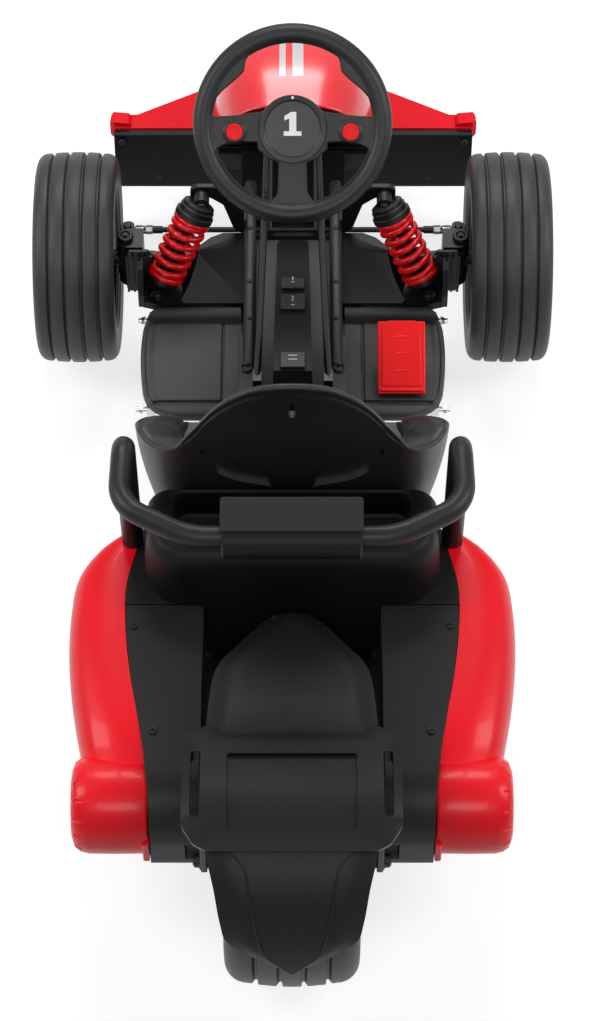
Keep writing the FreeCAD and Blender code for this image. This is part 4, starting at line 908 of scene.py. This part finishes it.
def seat_plan(share, height, inset):
    """Point of the bucket's plan at a height; share runs from the left front edge round the back."""
    rear_half = seat_level(1, height) - inset
    front_half = seat_level(2, height) - inset
    rear_y = seat_level(3, height) + inset
    corner = max(seat_level(4, height) - inset, 0.02)
    front_y = 0.098
    side_run = front_y - (rear_y + corner)
    bend_run = corner * math.pi / 2.0
    back_run = rear_half - corner
    travel = abs(share) * (side_run + bend_run + back_run)
    if travel < back_run:
        x, y = travel, rear_y
    elif travel < back_run + bend_run:
        turn = (travel - back_run) / corner
        x, y = back_run + corner * math.sin(turn), rear_y + corner * (1.0 - math.cos(turn))
    else:
        along = travel - back_run - bend_run
        x = rear_half + (front_half - rear_half) * along / side_run
        y = rear_y + corner + along
    return math.copysign(x, share), y


def seat_rim_height(share):
    """Height of the rim there, where the views from behind and from the side both allow it."""
    height = 0.45
    for _ in range(20):
        x, y = seat_plan(share, height, 0.0)
        side_height = through(seat_side_rim, y)[0] if y > seat_side_rim[0][0] else 1.0
        wanted = min(through(seat_rear_rim, abs(x))[0], side_height)
        height += 0.5 * (wanted - height)
    return height


plain_wall = 0.0090
bolster_depth = 0.0460
bolster_tilt = 0.0440


def seat_column(share):
    """Closed loop of points: up the outside, over the rolled rim, down the inside and back."""
    rim = seat_rim_height(share)
    x, y = seat_plan(share, rim, 0.0)
    bolster = ramp(0.128, 0.160, abs(x)) * (1.0 - ramp(-0.035, 0.030, y))
    wall = plain_wall + bolster_depth * bolster
    radius = wall / 2.0
    crown = min(radius, 0.0190)
    tilt = bolster_tilt * bolster
    inside = rim - crown - tilt
    loop = []
    for step in range(41):
        part = 1.0 - (1.0 - step / 40.0) ** 1.7
        height = seat_floor + (rim - crown - seat_floor) * part
        band = notch(rim - 0.0155, 0.0022, height)
        loop.append((*seat_plan(share, height, 0.0012 * band), height))
    for step in range(1, 16):
        turn = math.pi * step / 16.0
        seam = 0.0011 * bolster if step == 6 else 0.0
        loop.append((*seat_plan(share, rim, radius * (1.0 - math.cos(turn)) + seam),
                     rim - crown + (crown - seam) * math.sin(turn) - tilt * (1.0 - math.cos(turn)) / 2.0))
    for step in range(31):
        height = inside + (seat_floor + 0.008 - inside) * step / 30.0
        depth = (inside - height) / max(inside - seat_floor, 0.001)
        inset = wall + (0.0125 - wall) * ramp(0.0, 0.45, depth) + 0.016 * ramp(0.80, 1.0, depth)
        loop.append((*seat_plan(share, height, inset), height))
    return loop


def carved(mesh, cutters):
    """The mesh with every cutter's volume taken out of it."""
    body = bpy.data.objects.new("carved_body", mesh)
    bpy.context.scene.collection.objects.link(body)
    tools = []
    for cutter in cutters:
        tool = bpy.data.objects.new("carving_tool", cutter)
        bpy.context.scene.collection.objects.link(tool)
        cut = body.modifiers.new("cut", "BOOLEAN")
        cut.operation = "DIFFERENCE"
        cut.solver = "EXACT"
        cut.object = tool
        tools.append(tool)
    ready = body.evaluated_get(bpy.context.evaluated_depsgraph_get())
    result = bpy.data.meshes.new_from_object(ready)
    for thing in [body] + tools:
        bpy.data.objects.remove(thing)
    return result


# Rows: distance from the middle, height of the vent's lower edge there
vent_foot = ((0.0255, 0.3390), (0.0360, 0.3440), (0.0700, 0.3545), (0.0970, 0.3750), (0.1025, 0.3920))


vent_inner = 0.0255
vent_width = 0.0765


def vent_cutter(side):
    """Scoop in the seat's back: deepest under its upper edge, running out at the lower one."""
    rows = []
    for step in range(15):
        x = vent_inner + vent_width * step / 14.0
        arch = 0.003 * math.sin(math.pi * (x - vent_inner) / vent_width)
        top = 0.382 + 0.0330 * ramp(0.026, 0.108, x) + arch
        if x < 0.036:
            top -= 0.020 * ((0.036 - x) / 0.0105) ** 2
        low = through(vent_foot, x)[0]
        row = [(side * x, -0.170, top)]
        for part in range(9):
            height = top + (low - top) * part / 8.0
            depth = 0.0112 * math.sqrt(1.0 - (part / 8.0) ** 2)
            row.append((side * x, seat_level(3, height) + depth - 0.0002, height))
        row.append((side * x, -0.170, low))
        rows.append(row)
    return grid_mesh("vent", rows, around=True, capped=True)


seat_shares = [-1.0 + 2.0 * index / 260.0 for index in range(261)]
bucket = grid_mesh("bucket", [seat_column(share) for share in seat_shares], around=True, capped=True)
cutters = [vent_cutter(-1.0), vent_cutter(1.0)]
slot_outline = smooth_outline(mirrored(((0.0028, -0.0065, 0.002), (0.0028, 0.0065, 0.002))))
for side in (-1.0, 1.0):
    slot = plate_mesh("slot", slot_outline, -0.012, 0.040)
    cutters.append(stood(slot, (side * 0.114, -0.118, 0.427), 90.0, "X"))
keyhole = smooth_outline(mirrored(((0.0058, -0.0175, 0.0050), (0.0054, -0.0080, 0.003),
                                   (0.0022, 0.0030, 0.003), (0.0020, 0.0175, 0.0015))))
keyhole_mesh = plate_mesh("keyhole", keyhole, -0.030, 0.040)
cutters.append(stood(keyhole_mesh, (0.0, -0.122, 0.5305), 90.0, "X"))
bucket = carved(bucket, cutters)
floor_outline = [seat_plan(share, 0.178, 0.003) for share in seat_shares[::5]]
floor_plate = plate_mesh("seat_floor", floor_outline, 0.1725, 0.1835)
seat_mesh = shaded(merged("seat_bucket", (bucket, floor_plate)), 35.0)
seat_plastic = finish_of("seat_plastic", black(0.010), black(0.018), rough=0.40, grain=1200.0,
                         depth=0.00030, edge=0.25, mirror=0.35)
add_piece("seat_bucket", seat_mesh, seat_plastic, "root", "seat_black", "seat_shell")

# Rear body: the raised housing behind the seat, the seat base below it and the two side decks.
# Blow moulded in black plastic with a fine grain; the decks are screwed to the frame from above.
for node in ("side_deck_left", "side_deck_right", "seat_base"):
    rolled_edges(node, dark_plastic, 0.0040)
rolled_edges("charge_socket", fine_plastic, 0.0008)
rolled_edges("battery_box", fine_plastic, 0.0020)


def round_box(half, front, rear, front_round, rear_round, height):
    """Loop of points round a rectangle with rounded corners, the same number for any size."""
    loop = []
    for x, y, radius, start in ((half, front, front_round, 0.0), (-half, front, front_round, 90.0),
                                (-half, rear, rear_round, 180.0), (half, rear, rear_round, 270.0)):
        middle = (x - math.copysign(radius, x), y - math.copysign(radius, y - (front + rear) / 2.0))
        for step in range(17):
            turn = math.radians(start + 90.0 * step / 16.0)
            loop.append((middle[0] + radius * math.cos(turn), middle[1] + radius * math.sin(turn), height))
    return loop


shelf_low, shelf_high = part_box("seat_shelf")
shelf_rows = []
# Rows: inset from the outside, height below the top
for inset, drop in ((0.0, 0.1010), (0.0020, 0.0600), (0.0045, 0.0300), (0.0070, 0.0165), (0.0110, 0.0080),
                    (0.0155, 0.0030), (0.0200, 0.0008), (0.0240, 0.0)):
    shelf_rows.append(round_box(0.1930 - inset, shelf_high[1] - min(inset, 0.004), shelf_low[1] + inset,
                                0.012, max(0.054 - inset, 0.03), shelf_high[2] - drop))
# Rows: half width, front, rear, corner, height below the top
for half, front, rear, corner, drop in (
        (0.1560, 0.004, 0.0290, 0.030, 0.0), (0.1525, 0.007, 0.0320, 0.028, 0.0014),
        (0.1505, 0.009, 0.0345, 0.026, 0.0060), (0.1490, 0.010, 0.0360, 0.025, 0.0380),
        (0.1470, 0.012, 0.0380, 0.024, 0.0450), (0.1420, 0.016, 0.0420, 0.022, 0.0480)):
    shelf_rows.append(round_box(half, shelf_high[1] - front, shelf_low[1] + rear, corner * 0.5, corner,
                                shelf_high[2] - drop))
shelf_mesh = grid_mesh("seat_housing", shelf_rows, around=True, capped=True)
# Rows: y, half width of the low box that carries the housing
shelf_flank = ((shelf_high[1], 0.1990), (-0.133, 0.2020), (-0.166, 0.2100), (-0.208, 0.2170),
               (shelf_low[1] + 0.0010, 0.2164))
shelf_outline = [(half, y) for y, half in shelf_flank] + [(-half, y) for y, half in reversed(shelf_flank)]
shelf_mesh = merged("seat_housing", (shelf_mesh, plate_mesh("box", shelf_outline, shelf_low[2], 0.2398)))
# The housing takes the blackest plastic: painted shade for its rear-facing wall, which stands in shadow.
add_piece("seat_housing", shelf_mesh, black_plastic_with_painted_shade, "root", "plastic_black", "seat_shelf")

# Axle plates: flat steel plates between the decks and the wheel that hold the rear axle, with a
# small domed nut on each end of it. Their slotted ears are covered by the fender's strap.
web = smooth_outline(((-0.440, 0.128, 0.010), (-0.548, 0.142, 0.010), (-0.572, 0.150, 0.010),
                      (-0.574, 0.230, 0.010), (-0.590, 0.290, 0.018), (-0.478, 0.316, 0.014),
                      (-0.440, 0.250, 0.010)))
rear_axle = Vector((0.0, -0.557, 0.158))
# Stands a plate that is drawn flat upright along the kart, beside the wheel
upright = Matrix(((0.0, 0.0, 1.0, 0.107), (1.0, 0.0, 0.0, 0.0), (0.0, 1.0, 0.0, 0.0), (0.0, 0.0, 0.0, 1.0)))
for side, sign in sides:
    plate = plate_mesh("axle_plate_" + side, web, 0.0, 0.008)
    plate.transform(Matrix.Diagonal((sign, 1.0, 1.0, 1.0)) @ upright)
    washer = turned_mesh("washer", ((0.0, 0.114), (0.0125, 0.114), (0.0125, 0.1165), (0.0095, 0.1170),
                                    (0.0090, 0.1230), (0.0060, 0.1255), (0.0, 0.1260)), 24)
    stood(washer, rear_axle, 90.0 * sign)
    plate_and_nut = refaced(merged("axle_plate_" + side, (plate, washer)))
    softened(add_piece("axle_plate_" + side, plate_and_nut, frame_coat, "root", "frame_black",
                       "wheel_bracket_" + side), 0.0012, 2, 50.0)
deck_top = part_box("side_deck_right")[1][2]
deck_screws = both_sides((((0.2045, -0.2606, deck_top), upward), ((0.1764, -0.416, deck_top), upward)))
fasteners("deck_screws", screw_head, 0.0055, deck_screws, frame_coat, "root", "plastic_black")
flanges = []
for sign in (-1.0, 1.0):
    corners = ((0.1040, -0.4560), (0.1310, -0.4560), (0.1310, -0.2320), (0.1040, -0.2320))
    flanges.append(sided(plate_mesh("flange", corners, 0.0920, 0.1115), sign))
softened(add_piece("pan_flanges", merged("pan_flanges", flanges), frame_coat, "root", "frame_black"),
         0.0010, 2, 30.0)

# Side pods: swelling red shells outside the decks that end in round motor covers.
# Blow moulded in high gloss red plastic, one piece each side, clipped to the deck's edge.
# Rows: y, deck half width, pod half width, top, bottom
pod_rows = ((-0.112, 0.199, 0.223, 0.238, 0.190), (-0.133, 0.202, 0.256, 0.240, 0.150),
            (-0.166, 0.210, 0.282, 0.240, 0.122), (-0.208, 0.217, 0.290, 0.240, 0.112),
            (-0.272, 0.215, 0.2915, 0.240, 0.110), (-0.337, 0.207, 0.286, 0.240, 0.110),
            (-0.402, 0.195, 0.275, 0.238, 0.112), (-0.437, 0.189, 0.266, 0.232, 0.116),
            (-0.500, 0.182, 0.238, 0.214, 0.126))


def pod_section(y, sign, steps=30):
    """Bulging curve from the deck's edge over the pod and back under it."""
    inner, outer, top, low = through(pod_rows, y)
    middle = (top + low) / 2.0
    half = (top - low) / 2.0
    points = []
    for step in range(steps + 1):
        turn = math.radians(90.0 - 180.0 * step / steps)
        reach = (outer - inner) * abs(math.cos(turn)) ** 0.62
        rise = half * math.copysign(abs(math.sin(turn)) ** 0.72, math.sin(turn))
        points.append((sign * (inner + reach), y, middle + rise))
    return points


red_gloss = finish_of("red_gloss", (0.86, 0.0015, 0.010), (0.96, 0.004, 0.016), rough=0.36, grain=60.0,
                      depth=0.00006, patch=5.0, coat=0.12, mirror=0.25)
red_satin = finish_of("red_satin", (0.80, 0.0025, 0.012), (0.90, 0.005, 0.018), rough=0.62, grain=60.0,
                      depth=0.00008, patch=5.0, mirror=0.2)
pod_front = pod_rows[0][0]
pod_length = 0.388
pod_steps = 64
drum_middle = (0.0, -0.485, 0.172)
for side, sign in sides:
    rows = []
    for step in range(pod_steps + 1):
        rows.append(pod_section(pod_front - pod_length * step / pod_steps, sign))
    shell = grid_mesh("shell", rows)
    drum = turned_mesh("drum", ((0.0, 0.182), (0.0600, 0.182), (0.0620, 0.186), (0.0625, 0.225),
                                (0.0620, 0.258), (0.0595, 0.268), (0.0545, 0.275), (0.0440, 0.279),
                                (0.0410, 0.2765), (0.0, 0.2765)), 120)
    notches = []
    for turn in range(0, 360, 24):
        groove = turned_mesh("notch", ((0.0, -0.010), (0.0034, -0.010), (0.0034, 0.010), (0.0, 0.010)), 16)
        groove.transform(Matrix.Rotation(math.radians(turn), 4, "Z")
                         @ Matrix.Translation((0.0600, 0.0, 0.2700))
                         @ Matrix.Rotation(math.radians(-38.0), 4, "Y"))
        notches.append(groove)
    drum = carved(drum, notches)
    stood(drum, drum_middle, 90.0 * sign)
    seam = smooth_outline(((0.1805, -0.5500, 0.002), (0.1890, -0.5500, 0.003), (0.1890, -0.4900, 0.002),
                           (0.1805, -0.4900, 0.002)), 4)
    strip = sided(plate_mesh("strip", seam, 0.1420, 0.1840), sign)
    pod_mesh = shaded(merged("side_pod_%s_shell" % side, (shell, drum, strip)), 40.0)
    add_piece("side_pod_%s_shell" % side, pod_mesh, red_gloss, "root", "shell_red", "side_pod_" + side)

# Rear fender: black moulded hood over the wide wheel, with a raised saddle, a sunk panel and a long
# tongue forward. It is held by slotted ears on the axle plates.
fender_skin = 0.167
tongue_tip = Vector((0.0, -0.265, 0.290))
# Rows: distance up the camera's plane from the axle, half width
fender_widths = ((-0.1330, 0.0), (-0.1315, 0.006), (-0.1130, 0.0440), (-0.0885, 0.079), (-0.0666, 0.087),
                 (-0.0203, 0.095), (0.029, 0.1045), (0.091, 0.1067), (0.158, 0.1080), (0.2058, 0.1045),
                 (0.2407, 0.0985), (0.2581, 0.0885), (0.2750, 0.0700), (0.2920, 0.0515), (0.3020, 0.0400),
                 (0.3100, 0.0285), (0.3145, 0.0160), (0.3165, 0.0))
tip_reach = math.hypot(tongue_tip.y - rear_axle.y, tongue_tip.z - rear_axle.z)
touch_angle = (math.atan2(tongue_tip.z - rear_axle.z, tongue_tip.y - rear_axle.y)
               + math.acos(fender_skin / tip_reach))


def round_axle(turn):
    """Point of the hood's round part at an angle, in radians."""
    return Vector((0.0, rear_axle.y + fender_skin * math.cos(turn),
                   rear_axle.z + fender_skin * math.sin(turn)))


touch_point = round_axle(touch_angle)
tongue_length = (tongue_tip - touch_point).length


def fender_line(travel):
    """Point on the hood's middle line, a distance back from the tongue's tip, and the way out of it."""
    if travel < tongue_length:
        point = tongue_tip.lerp(touch_point, travel / tongue_length)
        turn = touch_angle
    else:
        turn = touch_angle + (travel - tongue_length) / fender_skin
        point = round_axle(turn)
    return point, Vector((0.0, math.cos(turn), math.sin(turn)))


bend_step = 0.0055
cross_step = 0.0078


def bent(mesh, place, start, end):
    """The flat mesh cut at even steps both ways, then each point moved by the given rule."""
    mould = bmesh.new()
    mould.from_mesh(mesh)
    cuts = [((0.0, start + bend_step * index, 0.0), (0.0, 1.0, 0.0))
            for index in range(1, int((end - start) / bend_step))]
    cuts += [((cross_step * index, 0.0, 0.0), (1.0, 0.0, 0.0)) for index in range(-14, 15)]
    for point, way in cuts:
        bmesh.ops.bisect_plane(mould, geom=mould.verts[:] + mould.edges[:] + mould.faces[:], dist=0.00001,
                               plane_co=point, plane_no=way)
    for vert in mould.verts:
        vert.co = place(vert.co)
    bmesh.ops.recalc_face_normals(mould, faces=mould.faces)
    return shaded(mesh_of(mould, mesh.name))


def hood_width(travel):
    """Half width of the hood at a distance back from the tongue's tip."""
    point = fender_line(travel)[0]
    rise = ((point.y - rear_axle.y) * math.sin(sight_elevation)
            + (point.z - rear_axle.z) * math.cos(sight_elevation))
    return max(0.0008, through(fender_widths, rise)[0])


def on_hood(flat):
    """Place on the hood of a point drawn flat: across, back from the tip, height above the skin."""
    point, outward = fender_line(flat.y)
    half = hood_width(min(max(flat.y, 0.001), fender_end - 0.001))
    gap = half - abs(flat.x)
    fall = 0.0075 * (1.0 - ramp(-0.004, 0.030, gap)) if flat.z < 0.0012 else 0.0
    return point + Vector((flat.x, 0.0, 0.0)) + outward * (flat.z - fall)


def travel_at(degrees):
    """Distance back from the tongue's tip at an angle round the axle."""
    return tongue_length + fender_skin * (math.radians(degrees) - touch_angle)


fender_end = travel_at(176.0)
hood_side = []
for step in range(181):
    travel = 0.0004 + (fender_end - 0.0008) * step / 180.0
    hood_side.append((hood_width(travel), travel))
hood_flat = plate_mesh("hood", hood_side + [(-x, y) for x, y in reversed(hood_side)], -0.0038, 0.0)
hood = bent(hood_flat, on_hood, 0.0, fender_end)
panel_start = travel_at(108.0)
panel_flat = plate_mesh("back_panel", smooth_outline(mirrored((
    (0.0730, panel_start, 0.0), (0.0725, travel_at(118.0), 0.008), (0.0560, travel_at(124.5), 0.010),
    (0.0470, travel_at(140.0), 0.030), (0.0380, travel_at(156.0), 0.010),
    (0.0310, travel_at(162.0), 0.010), (0.0, travel_at(172.5), 0.004)))), -0.0010, 0.0020)
panel = bent(panel_flat, on_hood, panel_start, fender_end)
fender_plastic = finish_of("fender_plastic", (0.003, 0.003, 0.0033), (0.006, 0.006, 0.0064),
                           rough=0.45, grain=1000.0, depth=0.00022, edge=0.5, mirror=0.20)
# Rows: degrees round the axle, distance of the panel's raised edge from the middle
panel_edge = ((113.0, 0.0790), (115.5, 0.0690), (118.5, 0.0605), (123.0, 0.0555), (130.0, 0.0520),
              (140.0, 0.0470), (150.0, 0.0420), (158.0, 0.0360))
ridges = []
for sign in (-1.0, 1.0):
    places = [113.0 + 0.75 * step for step in range(61)]
    path = [on_hood(Vector((sign * through(panel_edge, turn)[0], travel_at(turn), 0.0022)))
            for turn in places]
    ridges.append(swept_mesh("ridge", path, 0.0017, 10))
fender_mesh = merged("rear_fender_hood", [hood, panel] + ridges)
fender_mesh.set_sharp_from_angle(angle=math.radians(32.0))
softened(add_piece("rear_fender_hood", fender_mesh, fender_plastic, "root", "plastic_black",
                   "rear_fender"), 0.0014)

axle_bar = turned_mesh("rear_axle_bar", ((0.0, -0.1150), (0.0100, -0.1150), (0.0100, -0.0900),
                                         (0.0100, 0.0900), (0.0100, 0.1150), (0.0, 0.1150)), 32)
stood(axle_bar, rear_axle, 90.0)
add_piece("rear_axle_bar", axle_bar, frame_coat, "root", "frame_black", "rear_axle")

# Fender strap: one thick moulding across the hood with a sunk pocket in its middle. Each end
# reaches past the hood as a slotted ear and is bolted to the axle plate.
strap_rear = travel_at(113.0)
strap_front = travel_at(55.0)
strap_flat = plate_mesh("strap", smooth_outline(mirrored((
    (0.1060, strap_front - 0.0030, 0.003), (0.1120, strap_front + 0.0010, 0.004),
    (0.1350, strap_front + 0.0020, 0.007), (0.1355, strap_rear - 0.0330, 0.020),
    (0.1200, strap_rear - 0.0080, 0.014), (0.1030, strap_rear, 0.012)))), -0.0015, 0.0066)
pocket_front = travel_at(68.5)
pocket_rear = travel_at(105.0)
pocket_outline = smooth_outline(mirrored(((0.0800, pocket_front, 0.004), (0.0800, pocket_rear, 0.009))))
strap_cutters = [plate_mesh("pocket", pocket_outline, 0.0006, 0.0200)]
ear_slot_front = travel_at(67.5)
ear_slot_rear = travel_at(98.5)
for sign in (-1.0, 1.0):
    left, right = sorted((sign * 0.1125, sign * 0.1245))
    ear_slot = smooth_outline(((left, ear_slot_front, 0.004), (right, ear_slot_front, 0.004),
                               (right, ear_slot_rear, 0.004), (left, ear_slot_rear, 0.004)))
    strap_cutters.append(plate_mesh("ear_slot", ear_slot, -0.020, 0.020))
strap_flat = carved(strap_flat, strap_cutters)


def on_strap(flat):
    """As on the hood, but ears hang thicker outside the hood's edge."""
    point, outward = fender_line(flat.y)
    depth = 0.0120 * ramp(0.1040, 0.1090, abs(flat.x)) if flat.z < -0.0001 else 0.0
    roll = 0.0050 * ramp(0.1220, 0.1340, abs(flat.x))
    front_share = 1.0 - ramp(strap_front, strap_front + 0.022, flat.y)
    blend = 0.0040 * front_share * (1.0 - ramp(0.090, 0.106, abs(flat.x)))
    return point + Vector((flat.x, 0.0, 0.0)) + outward * (flat.z - depth - roll - blend)


strap = bent(strap_flat, on_strap, strap_front, strap_rear)
softened(add_piece("rear_fender_strap", strap, fender_plastic, "root", "plastic_black"), 0.0026)

# Roll bar: 28 mm steel tube bent in one piece round the back of the seat, powder coated black.
# A foam pad with a grained black cover is clipped round its middle.
rolled_edges("roll_bar", frame_coat, 0.0005)
pad_cover = finish_of("pad_cover", black(0.007), black(0.012), rough=0.55, grain=1500.0, depth=0.00030,
                      edge=0.2, mirror=0.2)
pad_sleeve = turned_mesh("pad_sleeve", ((0.0140, -0.0860), (0.0200, -0.0860), (0.0228, -0.0835),
                                         (0.0230, -0.0800), (0.0230, 0.0800), (0.0228, 0.0835),
                                         (0.0200, 0.0860), (0.0140, 0.0860), (0.0140, -0.0860)), 56)
stood(pad_sleeve, (0.0, -0.2930, 0.4965), 90.0)
# The sleeve round the bar takes the blackest plastic as painted shade under and behind the bar; the panel on
# top keeps the cover's plain black.
add_piece("bar_pad_sleeve", pad_sleeve, black_plastic_with_painted_shade, "root", "plastic_black", "bar_pad")
pad_flat = smooth_outline(mirrored(((0.0875, -0.0245, 0.004), (0.0875, 0.0245, 0.004))))
pad_panel = plate_mesh("bar_pad_panel", pad_flat, -0.0090, 0.0)
stood(pad_panel, (0.0, -0.2722, 0.5240), 4.0, "X")
softened(add_piece("bar_pad_panel", pad_panel, pad_cover, "root", "plastic_black"), 0.0020)

# Front body: red nose cowl with two pale stripes, a flat red wing with turned-up ends and the
# black board behind and below it. All are blow moulded; the board is screwed to the wing.
# Rows: y, half width, top, drop of the crown
nose_rows = ((0.5602, 0.108, 0.304, 0.044), (0.6197, 0.118, 0.309, 0.048), (0.6723, 0.114, 0.302, 0.052),
             (0.7040, 0.102, 0.286, 0.054), (0.7190, 0.086, 0.264, 0.050), (0.7233, 0.060, 0.225, 0.036))
nose_rear = 0.5602
nose_length = 0.1631
nose_tip = 0.7233
nose_foot = 0.1523
# The cowl's lower edge: its height at the rear and how fast it falls towards the tip
edge_height = 0.279
edge_fall = 1.477


def nose_section(place, steps=44):
    """Arch across the kart from one lower edge of the cowl to the other."""
    half, top, crown = through(nose_rows, place)
    height = top - nose_foot
    foot = max(0.0, edge_height - edge_fall * (place - nose_rear) - nose_foot)
    low = math.asin((foot / height) ** (1.0 / 0.62))
    points = []
    for step in range(steps + 1):
        turn = low + (math.pi - 2.0 * low) * step / steps
        x = half * math.copysign(abs(math.cos(turn)) ** 0.72, math.cos(turn))
        z = nose_foot + height * abs(math.sin(turn)) ** 0.62
        points.append((x, place, z))
    return points


nose_lines = [nose_section(nose_rear + nose_length * step / 56) for step in range(57)]
front_row = nose_lines[-1]
for shrink in (0.8, 0.5, 0.2, 0.0):
    nose_lines.append([(x * shrink, nose_tip, nose_foot + (z - nose_foot) * shrink) for x, y, z in front_row])
nose_red = finish_of("nose_red", (0.84, 0.0015, 0.010), (0.94, 0.004, 0.016), rough=0.32, grain=60.0,
                     depth=0.00006, patch=5.0, coat=1.0, mirror=0.5)
nose_tree = nose_red.node_tree
nose_shader = nose_tree.nodes["Principled BSDF"]
nose_shader.inputs["Coat Roughness"].default_value = 0.17
nose_paint = nose_shader.inputs["Base Color"]
stripe_axes = nose_tree.nodes.new("ShaderNodeSeparateXYZ")
feed(nose_tree, nose_tree.nodes.new("ShaderNodeTexCoord").outputs["Object"], stripe_axes.inputs["Vector"])
stripes = []
# Rows: middle of the stripe, half its width
for middle, half in ((-0.0150, 0.0044), (0.0070, 0.0078)):
    offset = reckoned(nose_tree, "SUBTRACT", stripe_axes.outputs["X"], middle)
    stripes.append(reckoned(nose_tree, "LESS_THAN", reckoned(nose_tree, "ABSOLUTE", offset), half))
stripe_rear = 0.611
painted = reckoned(nose_tree, "MULTIPLY", reckoned(nose_tree, "MAXIMUM", *stripes),
                   reckoned(nose_tree, "GREATER_THAN", stripe_axes.outputs["Y"], stripe_rear))
stripe_white = (0.62, 0.60, 0.60, 1.0)
feed(nose_tree, mixed(nose_tree, painted, nose_paint.links[0].from_socket, stripe_white), nose_paint)
nose_piece = add_piece("nose_cowl_shell", grid_mesh("nose_cowl_shell", nose_lines), nose_red, "root",
                       "shell_red", "nose_cowl")
nose_wall = nose_piece.modifiers.new("wall", "SOLIDIFY")
nose_wall.thickness = 0.004
nose_wall.offset = -1.0
rolled_edges("front_wing", red_satin, 0.0050)
# The board under the wing takes the blackest plastic, with painted shade in its colour.
rolled_edges("wing_board", black_plastic_with_painted_shade, 0.0030)
rearward = (0.0, -1.0, 0.1)
board_screws = both_sides((((0.252, 0.6300, 0.140), rearward), ((0.200, 0.6215, 0.070), rearward)))
fasteners("board_screws", screw_head, 0.0050, board_screws, frame_coat, "root", "plastic_black")
